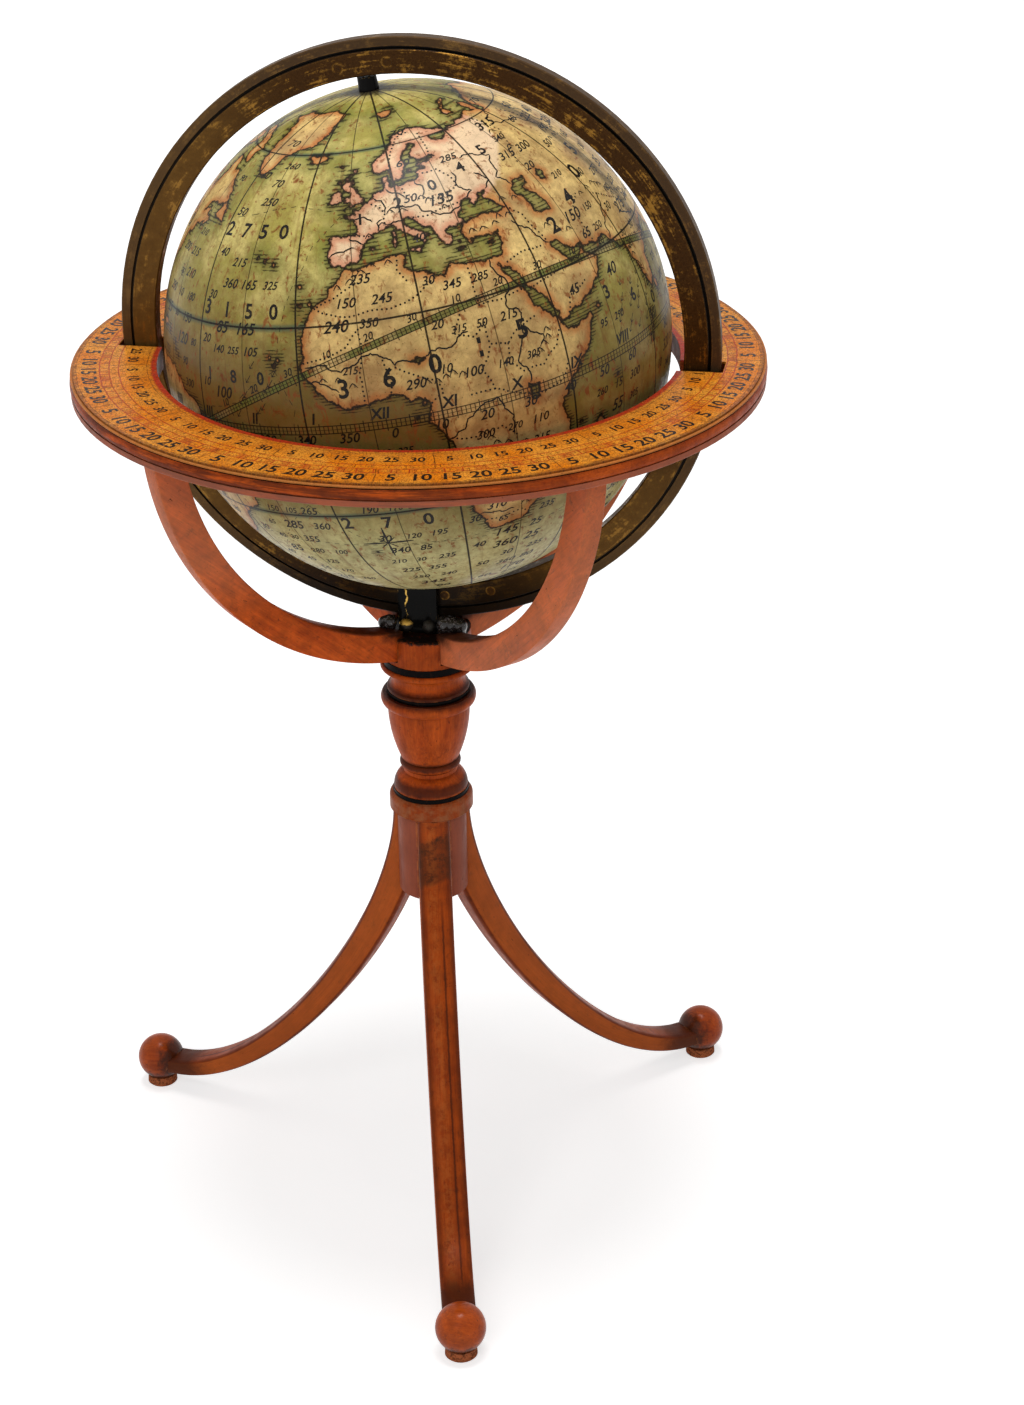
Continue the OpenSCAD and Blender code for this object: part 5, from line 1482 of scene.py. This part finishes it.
def make_horizon_paper(look):
    """Drawn and varnished paper: circles, ticks and boxes of the two scales."""
    material, kit = finish("horizon_paper_print", 0.06, Coat_Weight=0.12, Coat_Roughness=0.25)
    # Radii of the drawn circles in millimetres, from the hole outwards
    inner, scale, strip, top, outer = 37.5, 41.4, 42.7, 44.0, 47.2
    place = head_place(kit)
    wobble = kit.noise(place, 0.35) - 0.5
    radius, angle, _ = kit.polar(place)
    radius = radius + wobble * 0.35
    angle = angle + wobble * 0.8
    turn = radius * DEGREE

    def band(low, high):
        """1 between two circles."""
        return kit.step(radius, low - 0.05, low + 0.05) * kit.step(radius, high + 0.05, high - 0.05)

    ticks = kit.line(kit.every(angle, 3) * turn, 0.1)
    halves = kit.line(kit.every(angle, 3, 1.5) * turn, 0.08)
    months = kit.line(kit.every(angle, 30, 4) * turn, 0.12)
    signs = kit.line(kit.every(angle, 30, 14) * turn, 0.12)
    broken = kit.noise(place, 1.6, 4.0, 0.7)
    ink = kit.most(
        kit.line(radius - inner, 0.1) * 0.8, kit.line(radius - outer, 0.12) * 0.7,
        ticks * band(inner - 0.9, inner) * 0.7, ticks * band(scale, scale + 0.9),
        halves * band(top - 1.0, top),
        months * band(strip, outer), signs * band(inner, strip))
    ink = ink * kit.step(broken, 0.36, 0.55, 0.3, 1.0)
    lines = kit.most(*[kit.line(radius - reach, 0.17, 0.05) for reach in (scale, strip, top)])
    boxes = kit.line(kit.every(angle, 3, 0.6) * turn, 0.2, 0.06) * band(strip, top)
    parts = kit.noise(kit.join(angle * 0.33, 0.0, 0.0), 1.0, 0.0)
    filled = band(strip, top) * kit.step(parts, 0.5, 0.6)
    brushed = kit.step(radius + (broken - 0.5) * 0.7, 37.2, 36.8) * 0.95
    red = kit.most(brushed, lines * 0.85, boxes * 0.85, filled * 0.45)
    mottle = kit.noise(place, 1.0, 5.0, 0.75)
    crack = kit.group("crazing", Vector=kit.stretched(place, (1, 1, 0.2)), Size=0.5,
                      Width=0.12)["Crack"]
    dirt = kit.step(radius + (mottle - 0.5) * 1.6, 47.0, 47.6)
    paper = kit.over(
        look.amber,
        (kit.step(kit.noise(place, 0.16, 4.0, 0.6), 0.35, 0.65), look.pale),
        (kit.step(radius, 41.0, 37.4) * 0.35, (0.42, 0.12, 0.01)),
        (kit.step(mottle, 0.42, 0.66) * 0.5, (0.36, 0.12, 0.02)),
        (red * kit.step(broken, 0.25, 0.5, 0.5, 1.0), look.red),
        (crack * 0.7, (0.12, 0.035, 0.006)),
        (dirt * 0.6, (0.07, 0.02, 0.01)),
        (kit.group("foxing", Vector=place, Amount=0.6)["Spot"] * 0.6, (0.12, 0.04, 0.015)),
        (ink * 0.9, look.ink))
    kit.surface(Base_Color=paper, Roughness=kit.step(mottle, 0.3, 0.7, 0.36, 0.55),
                Normal=kit.bump(mottle - crack * 0.6, 0.35, 0.07 * MM))
    return material


def edge_marks(kit):
    """The horizon's moulding: dark streaks, a paler lower edge that is a painted reflection of the
    floor, and an amber top bead that is a painted highlight.
    """
    x, y, z = kit.split(kit.object_place(COLUMN))
    depth = PAPER_TOP / MM - z
    angle = kit.math("ARCTAN2", y, x) / DEGREE
    streak = kit.noise(kit.join(angle * 0.1, z * 1.4, 0.0), 1.0, 4.0, 0.65)
    outer = kit.step(x * x + y * y, 46.5 ** 2, 46.9 ** 2)
    side = kit.step(x + y * 0.3, 10.0, -25.0, 0.25, 0.9)
    return ((outer * kit.step(streak, 0.38, 0.56) * side * 0.8, (0.06, 0.014, 0.007)),
            # A painted reflection of the floor on the lower edge, then a painted highlight on the
            # top bead
            (outer * kit.step(depth, 2.1, 2.3) * 0.55, (0.45, 0.17, 0.11)),
            (outer * kit.step(depth, 0.56, 0.5) * 0.7, (0.5, 0.2, 0.045)))


class POCKET_GLOBE_OT_horizon(bpy.types.Operator):
    """Finish the moulded wooden ring and its printed paper, and set its numbers"""

    bl_idname = "pocket_globe.horizon"
    bl_label = "Horizon"

    def execute(self, context):
        look = context.scene.pocket_globe_paper
        dress(make_wood("horizon_wood", board_grain, edge_marks, 1.35), "horizon_ring")
        dress(make_horizon_paper(look), "horizon_paper")
        pen = Pen()
        days = ["5", "10", "15", "20", "25", "30"]
        shapes = number_shapes(days, 0.05, 0.03)
        up = Vector((0, 0, 1))

        def set_number(text, angle, radius, size):
            """A day's number along a circle, from its angle in degrees."""
            def wrap(x, y):
                turn = HEAD_TURN + angle * DEGREE + x * size / radius
                place = COLUMN + Vector((math.cos(turn), math.sin(turn), 0)) * (radius - y * size)
                return Vector((place.x, place.y, PAPER_TOP)), up
            pen.number(shapes[text], wrap)

        for step in range(12):
            for part, text in enumerate(days):
                set_number(text, step * 30 + 4 + (part + 0.55) * 4.8, 45.6 * MM, look.large_number)
                set_number(text, step * 30 + 14 + (part + 0.6) * 4.8, 39.6 * MM, look.small_number)
        self.clear_of_notches(pen)
        pen.face_out(lambda point: up)
        ink = make_ink("horizon_ink", look.ink)
        piece("horizon_numbers", pen.bm, ink, "stand")
        return {"FINISHED"}

    @staticmethod
    def clear_of_notches(pen):
        """Takes away what would lie over the two notches."""
        along = Vector((math.cos(HEAD_TURN), math.sin(HEAD_TURN), 0))
        gone = [vert for vert in pen.bm.verts
                if abs((vert.co - COLUMN).cross(along).z) < 2.2 * MM
                and abs((vert.co - COLUMN).dot(along)) < 42.8 * MM]
        bmesh.ops.delete(pen.bm, geom=gone, context="VERTS")


# Arms


class POCKET_GLOBE_OT_arms(bpy.types.Operator):
    """Build the four curved arms with their eased edges"""

    bl_idname = "pocket_globe.arms"
    bl_label = "Arms"

    # Angles in degrees: where the arms stand round the column, their sweep and their grain
    turns = {"arm_front_left": 225, "arm_front_right": 313, "arm_back_right": 45,
             "arm_back_left": 137}
    sweep_start, sweep = 95, 100
    grain_slope = 42
    thickness = 3.2 * MM

    def execute(self, context):
        look = context.scene.pocket_globe_limb
        centre_z = self.centre_height(look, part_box("arm_front_left")[0].z)

        def soot(kit):
            """Darkens the arms' upper sides near their roots and the roots at the boss, and adds a
            pale pink painted sheen to the right and high up.
            """
            place = kit.object_place(COLUMN)
            x = kit.split(place)[0]
            reach, _, z = kit.polar(place)
            out = reach + look.arm_centre / MM
            down = z - centre_z / MM
            depth = look.arm_radius / MM - kit.math("SQRT", out * out + down * down)
            rough = kit.ragged(place, 0.7, 5.0, 0.75, 6.0)
            upper = kit.step(depth - rough * 0.05, 4.0, 4.35) * kit.step(reach + rough, 24.0, 12.0)
            base = kit.step(depth - rough * 0.3, 2.2, 4.2)
            base = base * kit.step(reach + rough * 0.5, 10.5, 7.0)
            # Painted sheen: paler pink on the right-hand side and high on the arms
            pale = kit.most(kit.step(x, -5.0, 4.0), kit.step(z, 100.0, 112.0))
            return ((pale * 0.2, (0.84, 0.48, 0.29)),
                    (kit.most(upper * 0.85, base * 0.95), (0.012, 0.006, 0.004)))

        material = make_wood("arm_wood", own_grain, soot, 1.5)
        for name, turn in self.turns.items():
            low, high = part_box(name)
            bm = self.shape(look, self.centre_height(look, low.z), high.z)
            set_round_column(bm, HEAD_TURN + turn * DEGREE)
            piece(name + "_eased", bm, material, "stand", [name], 35)
        return {"FINISHED"}

    @staticmethod
    def centre_height(look, bottom):
        """Height of the centre of an arm's curve, from the height of its root."""
        return bottom + math.sqrt(look.arm_radius ** 2 - (look.arm_root + look.arm_centre) ** 2)

    def shape(self, look, centre_z, top):
        """A quarter-round arm from the boss to the horizon, with X outwards."""
        outer = look.arm_radius
        inner = outer - look.arm_width
        half = self.thickness / 2
        bm = bmesh.new()
        corners = [(inner, -half), (outer, -half), (outer, half), (inner, half)]
        face = bm.faces.new([bm.verts.new((x, y, 0)) for x, y in corners])
        start = Matrix.Rotation(self.sweep_start * DEGREE, 3, "Y")
        bmesh.ops.rotate(bm, cent=(0, 0, 0), matrix=start, verts=bm.verts)
        bmesh.ops.spin(bm, geom=[face, *face.edges, *face.verts], cent=(0, 0, 0), axis=(0, 1, 0),
                       angle=-self.sweep * DEGREE, steps=60, use_merge=False)
        bmesh.ops.translate(bm, vec=(-look.arm_centre, 0, centre_z), verts=bm.verts)
        for spot, way in (((look.arm_root, 0, 0), (-1, 0, 0)), ((0, 0, top), (0, 0, 1))):
            cut(bm, spot, way, clear_outer=True)
            bmesh.ops.holes_fill(bm, edges=[edge for edge in bm.edges if edge.is_boundary])
        bmesh.ops.remove_doubles(bm, verts=bm.verts, dist=1e-7)
        bmesh.ops.recalc_face_normals(bm, faces=bm.faces)
        long_edges = [edge for edge in bm.edges if len(edge.link_faces) == 2
                      and 80 * DEGREE < edge.calc_face_angle() < 100 * DEGREE
                      and abs(abs(edge.verts[0].co.y) - half) < 1e-6
                      and abs(edge.verts[0].co.y - edge.verts[1].co.y) < 1e-6]
        ease(bm, long_edges, look.edge, 3)
        grain = bm.verts.layers.float_vector.new("grain")
        slant = Matrix.Rotation(self.grain_slope * DEGREE, 3, "Y")
        for vert in bm.verts:
            x, y, z = slant @ (vert.co + Vector((look.arm_centre, 0, -centre_z)))
            vert[grain] = Vector((z, y, x)) / MM
        return bm


# Head of the pillar


def softened_copy(node, width):
    """A merged copy of a CAD node with its edges rounded."""
    bm = bmesh.new()
    bm.from_mesh(NODES[node].data)
    bmesh.ops.remove_doubles(bm, verts=bm.verts, dist=2e-6)
    bmesh.ops.dissolve_limit(bm, angle_limit=1.0 * DEGREE, verts=bm.verts, edges=bm.edges)
    sharp = [edge for edge in bm.edges
             if len(edge.link_faces) == 2 and edge.calc_face_angle() > 30 * DEGREE]
    ease(bm, sharp, width, 2)
    return bm


class POCKET_GLOBE_OT_head(bpy.types.Operator):
    """Finish the boss, and build the fork and the wax that holds it"""

    bl_idname = "pocket_globe.head"
    bl_label = "Head"

    # The gold streak in millimetres: how far right of the column, and heights over the table
    streak_x = -2.3
    thread_low, streak_low, streak_top = 93.0, 95.0, 97.9

    def execute(self, context):
        dress(make_wood("boss_wood", upright_grain, self.grimy_top, 1.05), "head_boss")
        fork = make_japan("fork_japan", 0.35 * MM)
        gild(fork, self.streak)
        piece("fork_softened", softened_copy("ring_fork", 0.14 * MM), fork, "stand",
              ["ring_fork"], 40)
        pins = make_old_brass("rest_pin_brass", (0.03, 0.026, 0.022), (0.07, 0.06, 0.05), 0.3,
                              turned=False)
        gild(pins, self.worn_pin)
        dress(pins, "fork_rest_pins")
        self.wax()
        return {"FINISHED"}

    @staticmethod
    def grimy_top(kit):
        """The boss's top band, made black."""
        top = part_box("head_boss")[1].z / MM
        place = kit.object_place(COLUMN)
        z = kit.split(place)[2] + kit.ragged(place, 1.2, 4.0, 0.7, 1.6)
        return [(kit.step(z, top - 0.5, top - 0.1), (0.008, 0.005, 0.004))]

    def streak(self, kit):
        """The gold streak and thread worn into the fork's front."""
        place = head_place(kit)
        x, y, z = kit.split(place)
        swing = kit.ragged(kit.join(0.0, 0.0, z * 0.7), 1.0, 2.0, 0.5, 1.1)
        ragged = kit.ragged(place, 2.2, 4.0, 0.7, 0.5)
        side = abs(x - self.streak_x + swing) + ragged
        wide = kit.step(side, 0.17, 0.05)
        wide = wide * kit.step(z + ragged, self.streak_low, self.streak_low + 0.6)
        thread = kit.step(side, 0.05, 0.0) * kit.step(z, self.thread_low, self.thread_low + 0.4)
        thread = thread * kit.step(kit.noise(place, 2.0), 0.4, 0.5)
        front = kit.step(z, self.streak_top, self.streak_top - 0.5) * kit.step(y, -2.6, -2.75)
        return kit.most(wide, thread) * front

    @staticmethod
    def worn_pin(kit):
        """Gold on the upper part of the left pin's head."""
        place = head_place(kit)
        x, _, z = kit.split(place)
        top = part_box("fork_rest_pins")[1].z / MM
        ragged = kit.ragged(place, 3.0, 4.0, 0.7, 0.5)
        return kit.step(x, -0.5, -1.0) * kit.step(z + ragged, top - 0.8, top - 0.7)

    @staticmethod
    def wax():
        """Two lumps of glassy black wax beside the fork."""
        material, kit = finish("black_wax_glaze", Coat_Weight=0.6, Coat_Roughness=0.06)
        place = kit.object_place()
        dull = kit.noise(place, 1.2, 4.0, 0.6)
        # Grey streaks painted into the colour as glints: a painted reflection on the glassy wax
        glint = kit.noise(kit.stretched(place, (1, 1, 1.6)), 1.9, 3.0, 0.7, 1.2)
        glint = kit.step(glint, 0.56, 0.64)
        tint = kit.mix(dull, (0.006, 0.005, 0.005), (0.03, 0.022, 0.018))
        kit.surface(Base_Color=kit.mix(glint * 0.8, tint, (0.22, 0.2, 0.21)),
                    Roughness=kit.step(dull, 0.3, 0.7, 0.14, 0.3),
                    Normal=kit.bump(kit.noise(place, 2.0, 3.0), 0.6, 0.12 * MM))
        bm = bmesh.new()
        bm.from_mesh(NODES["fork_wax"].data)
        bmesh.ops.remove_doubles(bm, verts=bm.verts, dist=2e-6)
        wax = piece("fork_wax_lumps", bm, material, "stand", ["fork_wax"])
        remesh = wax.modifiers.new("melted", "REMESH")
        remesh.mode = "VOXEL"
        remesh.voxel_size = 0.12 * MM
        melt = wax.modifiers.new("rounded", "SMOOTH")
        melt.factor = 0.5
        melt.iterations = 5


# Pillar


class POCKET_GLOBE_OT_pillar(bpy.types.Operator):
    """Finish the turned vase, the block over the legs and the black lines"""

    bl_idname = "pocket_globe.pillar"
    bl_label = "Pillar"

    def execute(self, context):
        dress(make_wood("pillar_wood", upright_grain, self.turned_dirt, 1.25, 0.32), "vase_pillar")
        dress(make_wood("leg_block_wood", upright_grain, self.rubbed, 0.9), "leg_block")
        material, kit = finish("black_stringing", 0.02, Coat_Weight=0.03)
        place = kit.object_place(COLUMN)
        dull = kit.step(kit.noise(place, 1.8, 4.0, 0.7), 0.55, 0.75)
        kit.surface(Base_Color=kit.mix(dull, (0.003, 0.002, 0.002), (0.03, 0.012, 0.008)),
                    Roughness=kit.step(dull, 0.0, 1.0, 0.3, 0.55),
                    Normal=kit.bump(kit.noise(place, 3.0, 3.0), 0.2))
        dress(material, "boss_line", "bead_line", "collar_line")
        return {"FINISHED"}

    @staticmethod
    def turned_dirt(kit):
        """Dark bands along the turning: height, reach and share of each band."""
        place = kit.object_place(COLUMN)
        z = kit.split(place)[2] + kit.ragged(place, 1.0, 3.0, 0.5, 0.7)
        bands = ((81.3, 1.5, 0.9), (84.6, 0.7, 0.6), (69.7, 0.9, 0.8), (66.2, 1.2, 0.8))
        return [(kit.step(abs(z - level), reach, reach * 0.35) * most, (0.035, 0.008, 0.004))
                for level, reach, most in bands]

    @staticmethod
    def rubbed(kit):
        """Pinkish wear on the block and a browner collar over it."""
        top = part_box("leg_front")[1].z / MM
        place = kit.object_place(COLUMN)
        z = kit.split(place)[2]
        uneven = kit.step(kit.noise(place, 0.8, 4.0, 0.7), 0.35, 0.65)
        return ((kit.step(z, top + 0.1, top - 0.1) * 0.55, (0.33, 0.105, 0.07)),
                (kit.step(z, top - 0.1, top + 0.1) * uneven * 0.5, (0.4, 0.17, 0.07)))


# Legs


def leg_curve(part, look):
    """The leg's centre line as distance from the column's axis and height, and its direction."""
    toe = look.foot_radius - look.ball_radius
    slope = look.leg_slope
    start = Vector((look.leg_start, look.leg_high))
    plumb = Vector((look.leg_start, look.leg_high - look.leg_plumb))
    flat = Vector((toe - look.leg_flat * math.cos(slope),
                   look.ball_height + look.leg_flat * math.sin(slope)))
    end = Vector((toe, look.ball_height))
    rest = 1 - part
    place = (start * rest ** 3 + plumb * 3 * rest * rest * part + flat * 3 * rest * part * part
             + end * part ** 3)
    ahead = ((plumb - start) * rest * rest + (flat - plumb) * 2 * rest * part
             + (end - flat) * part * part)
    return place, ahead.normalized()


class POCKET_GLOBE_OT_legs(bpy.types.Operator):
    """Build the three sabre legs, and finish their balls and pads"""

    bl_idname = "pocket_globe.legs"
    bl_label = "Legs and feet"

    # Heights of the rough patch on the front leg, in millimetres
    patch_low, patch_high = 51.8, 59.4

    def execute(self, context):
        material = make_wood("leg_wood", own_grain, self.leg_marks, 1.05, 0.34)
        for name, turn in (("leg_front", -90), ("leg_right", 30), ("leg_left", 150)):
            bm = self.shape(context.scene.pocket_globe_limb)
            set_round_column(bm, turn * DEGREE)
            piece(name + "_swept", bm, material, "stand", [name], 50)
        dress(make_wood("ball_foot_wood", board_grain, self.foot_grime, 1.15, 0.24, 0.2),
              "ball_front", "ball_right", "ball_left")
        material, kit = finish("pad_wood")
        place = kit.object_place()
        nap = kit.noise(place, 2.5, 5.0, 0.8)
        layer = kit.noise(kit.stretched(place, (0.3, 0.3, 3.0)), 1.5, 3.0)
        tint = kit.mix(kit.step(nap, 0.36, 0.56), (0.07, 0.02, 0.008), (0.56, 0.16, 0.06))
        kit.surface(Base_Color=tint, Roughness=kit.step(nap, 0.3, 0.7, 0.75, 0.95),
                    Normal=kit.bump(nap + layer, 0.9, 0.15 * MM))
        dress(material, "pad_front", "pad_right", "pad_left")
        return {"FINISHED"}

    def leg_marks(self, kit):
        """Red flanks, a brighter red band of painted light beside the ridge, a dark line of painted
        shade lower down on the ridge's side, dark edges and toe, and a rough patch high on the
        front leg.
        """
        place = kit.object_place(COLUMN)
        x, y, z = kit.split(place)
        fine = kit.noise(place, 1.1, 5.0, 0.75)
        high = z + (fine - 0.5) * 2.4 - x * 0.3
        patch = (kit.step(high, self.patch_low, self.patch_low + 0.9)
                 * kit.step(high, self.patch_high, self.patch_high - 0.9)
                 * kit.step(y, -5.0, -5.6) * kit.step(fine, 0.25, 0.6, 0.95, 0.45))
        side, _, along = kit.split(own_grain(kit))
        rough = (fine - 0.5) * 1.2
        flank = kit.step(abs(side), 2.25, 2.38)
        edges = kit.step(abs(side) + rough * 0.5, 1.3, 2.2) * (1.0 - flank) * 0.55
        # A dark line of painted shade on the ridge's side, on the leg's lower part
        dark_line = kit.line(side - 0.75 + rough * 0.3, 0.3, 0.1) * kit.step(along, 14.0, 22.0) * 0.75
        toe = kit.step(along + rough * 4.0, 68.0, 75.0) * 0.85
        # Painted light: a brighter red band beside the ridge
        glow = kit.step(abs(side + 0.6), 1.2, 0.2) * kit.step(fine, 0.4, 0.6) * 0.4
        return ((kit.most(glow, flank * 0.4), (0.62, 0.16, 0.03)),
                (kit.most(edges, dark_line, toe), (0.05, 0.012, 0.005)),
                (patch, (0.045, 0.02, 0.008)))

    @staticmethod
    def foot_grime(kit):
        """Black dirt on the balls where the toes meet them, and darker towards the bottom."""
        place = kit.object_place(COLUMN)
        reach, _, z = kit.polar(place)
        fine = kit.ragged(place, 0.9, 4.0, 0.7, 4.0)
        inner = kit.step(reach + fine, 50.2, 48.2)
        low = kit.step(z + fine, 3.6, 2.4)
        return [(kit.most(inner * 0.85, low * 0.8), (0.022, 0.008, 0.004))]

    @staticmethod
    def shape(look):
        """A leg with X outwards: a straight bar with a ridge, bent along the leg's curve."""
        bm = bmesh.new()
        half = look.leg_width / 2
        bmesh.ops.create_cube(bm, size=1.0)
        bmesh.ops.scale(bm, vec=(look.leg_width, look.leg_top, 1.0), verts=bm.verts)
        bmesh.ops.translate(bm, vec=(0, 0, 0.5), verts=bm.verts)

        def raise_face(inner, outer, height):
            """Moves the upper face's corners whose distance from its middle lies between two."""
            chosen = [vert for vert in bm.verts
                      if vert.co.y > 0 and inner <= abs(vert.co.x) < outer]
            bmesh.ops.translate(bm, vec=(0, height, 0), verts=chosen)

        raise_face(0, look.leg_width, -look.leg_ridge)
        cut(bm, (0, 0, 0), (1, 0, 0))
        raise_face(0, half * 0.5, look.leg_ridge)
        for side in (-1, 1):
            cut(bm, (side * half * 0.5, 0, 0), (1, 0, 0))
        raise_face(half * 0.4, half * 0.6, -look.leg_hollow)
        corners = [edge for edge in bm.edges
                   if abs(edge.verts[0].co.z - edge.verts[1].co.z) > 0.5
                   and abs(abs(edge.verts[0].co.x) - half) < 1e-6]
        ease(bm, corners, look.leg_edge, 4)
        steps = 72
        for step in range(1, steps):
            cut(bm, (0, 0, step / steps), (0, 0, 1))
        grain = bm.verts.layers.float_vector.new("grain")
        for vert in bm.verts:
            side, out, part = vert.co
            vert[grain] = Vector((side, out, part * look.leg_length)) / MM
            place, ahead = leg_curve(part, look)
            if part > 1 - 0.5 / steps:
                place = place + ahead * look.toe_in
            normal = Vector((-ahead.y, ahead.x))
            reach = out * (1 + (look.leg_toe / look.leg_top - 1) * part)
            if normal.x * reach + place.x < look.leg_root and abs(normal.x) > 1e-6:
                reach = (look.leg_root - place.x) / normal.x
            vert.co = (place.x + normal.x * reach, side, place.y + normal.y * reach)
        bmesh.ops.recalc_face_normals(bm, faces=bm.faces)
        return bm


# Stage


class POCKET_GLOBE_OT_stage(bpy.types.Operator):
    """Set up the floor, the lamps and the camera"""

    bl_idname = "pocket_globe.stage"
    bl_label = "Stage"

    def execute(self, context):
        scene = context.scene
        look = scene.pocket_globe_stage
        scene.view_settings.view_transform = "Standard"
        bm = bmesh.new()
        bmesh.ops.create_circle(bm, cap_ends=True, segments=96, radius=6.0)
        mesh = bpy.data.meshes.new("floor")
        bm.to_mesh(mesh)
        bm.free()
        mesh.materials.append(self.floor_finish(look))
        floor = add_object("floor", mesh)
        scene.world = self.white_room(look)
        self.lamps(look)
        scene.camera = self.camera(look)
        return {"FINISHED"}

    @staticmethod
    def bare_kit(owner):
        """A kit for the emptied nodes of a material or world."""
        owner.use_nodes = True
        owner.node_tree.nodes.clear()
        return Kit(owner.node_tree)

    @staticmethod
    def shown(kit):
        """1 for rays from the camera and for reflections, else 0."""
        path = kit.node("LightPath")
        return kit.most(*[kit.wire(path, "Is " + kind + " Ray")
                          for kind in ("Camera", "Glossy", "Transmission")])

    def floor_finish(self, look):
        """White paper that keeps shadows and is lifted to white where it is seen."""
        material = bpy.data.materials.new("floor_paper")
        kit = self.bare_kit(material)
        diffuse = kit.node("BsdfDiffuse", {"Color": (0.82, 0.82, 0.82)})
        reach = kit.polar(kit.object_place(scale=1.0))[0]
        far = kit.step(reach, 0.25, 0.8) * (1.0 - look.floor_glow)
        glow = kit.node("Emission", {"Color": (1.0, 1.0, 1.0),
                                     "Strength": self.shown(kit) * (far + look.floor_glow)})
        both = kit.node("AddShader", {0: kit.wire(diffuse), 1: kit.wire(glow)})
        kit.node("OutputMaterial", {"Surface": kit.wire(both)})
        return material

    def white_room(self, look):
        """A plain white room."""
        world = bpy.data.worlds.new("white_room")
        kit = self.bare_kit(world)
        strength = kit.step(self.shown(kit), 0.0, 1.0, look.sky, 1.0, smooth=False)
        background = kit.node("Background", {"Color": (1.0, 1.0, 1.0), "Strength": strength})
        kit.node("OutputWorld", {"Surface": kit.wire(background)})
        return world

    @staticmethod
    def lamps(look):
        """A soft lamp straight above, and a wide one in front that nothing mirrors."""
        aim = Vector((0, 0, 0.11))
        for name, place, size, power, mirrored in (
                ("key_lamp", (0.0, 0.0, 0.95), 0.35, look.key, True),
                ("front_lamp", (-0.35, -0.9, 0.75), 0.7, look.key * 0.73, False)):
            data = bpy.data.lights.new(name, "AREA")
            data.shape = "DISK"
            data.size = size
            data.energy = power
            lamp = add_object(name, data)
            lamp.location = place
            lamp.rotation_euler = (aim - Vector(place)).to_track_quat("-Z", "Y").to_euler()
            lamp.visible_glossy = mirrored

    @staticmethod
    def camera(look):
        """The camera of the photograph."""
        data = bpy.data.cameras.new("camera")
        data.lens = look.lens
        data.sensor_width = 36.0
        data.clip_start = 0.01
        data.clip_end = 50.0
        camera = add_object("camera", data)
        turn = (Matrix.Rotation(-look.yaw, 4, "Z")
                @ Matrix.Rotation(math.pi / 2 - look.pitch, 4, "X")
                @ Matrix.Rotation(look.roll, 4, "Z"))
        camera.matrix_world = Matrix.Translation(Vector(look.camera)) @ turn
        return camera


class POCKET_GLOBE_PT_panel(bpy.types.Panel):
    """Lists the pieces in the order in which they are built"""

    bl_idname = "POCKET_GLOBE_PT_panel"
    bl_label = "Pocket Globe"
    bl_space_type = "VIEW_3D"
    bl_region_type = "UI"
    bl_category = "Pocket Globe"

    def draw(self, context):
        for operator in OPERATORS:
            self.layout.operator(operator.bl_idname)
        for label in GROUPS:
            box = self.layout.box()
            box.label(text=GROUPS[label].__doc__)
            group = getattr(context.scene, label)
            for name in GROUPS[label].__annotations__:
                box.prop(group, name)


GROUPS = {
    "pocket_globe_map": MapLook,
    "pocket_globe_wood": WoodLook,
    "pocket_globe_paper": PaperLook,
    "pocket_globe_metal": MetalLook,
    "pocket_globe_limb": LimbLook,
    "pocket_globe_stage": StageLook,
}
OPERATORS = (
    POCKET_GLOBE_OT_map_ball,
    POCKET_GLOBE_OT_map_print,
    POCKET_GLOBE_OT_inner_parts,
    POCKET_GLOBE_OT_meridian,
    POCKET_GLOBE_OT_horizon,
    POCKET_GLOBE_OT_arms,
    POCKET_GLOBE_OT_head,
    POCKET_GLOBE_OT_pillar,
    POCKET_GLOBE_OT_legs,
    POCKET_GLOBE_OT_stage,
)


def register():
    """Registers the groups of values, the operators and the panel."""
    for label, group in GROUPS.items():
        bpy.utils.register_class(group)
        setattr(bpy.types.Scene, label, bpy.props.PointerProperty(type=group))
    for operator in OPERATORS:
        bpy.utils.register_class(operator)
    bpy.utils.register_class(POCKET_GLOBE_PT_panel)


def unregister():
    """Takes them away again."""
    bpy.utils.unregister_class(POCKET_GLOBE_PT_panel)
    for operator in reversed(OPERATORS):
        bpy.utils.unregister_class(operator)
    for label, group in GROUPS.items():
        delattr(bpy.types.Scene, label)
        bpy.utils.unregister_class(group)


def main():
    """Builds every piece."""
    register()
    for operator in OPERATORS:
        getattr(bpy.ops.pocket_globe, operator.bl_idname.split(".")[1])()


if __name__ == "__main__":
    main()
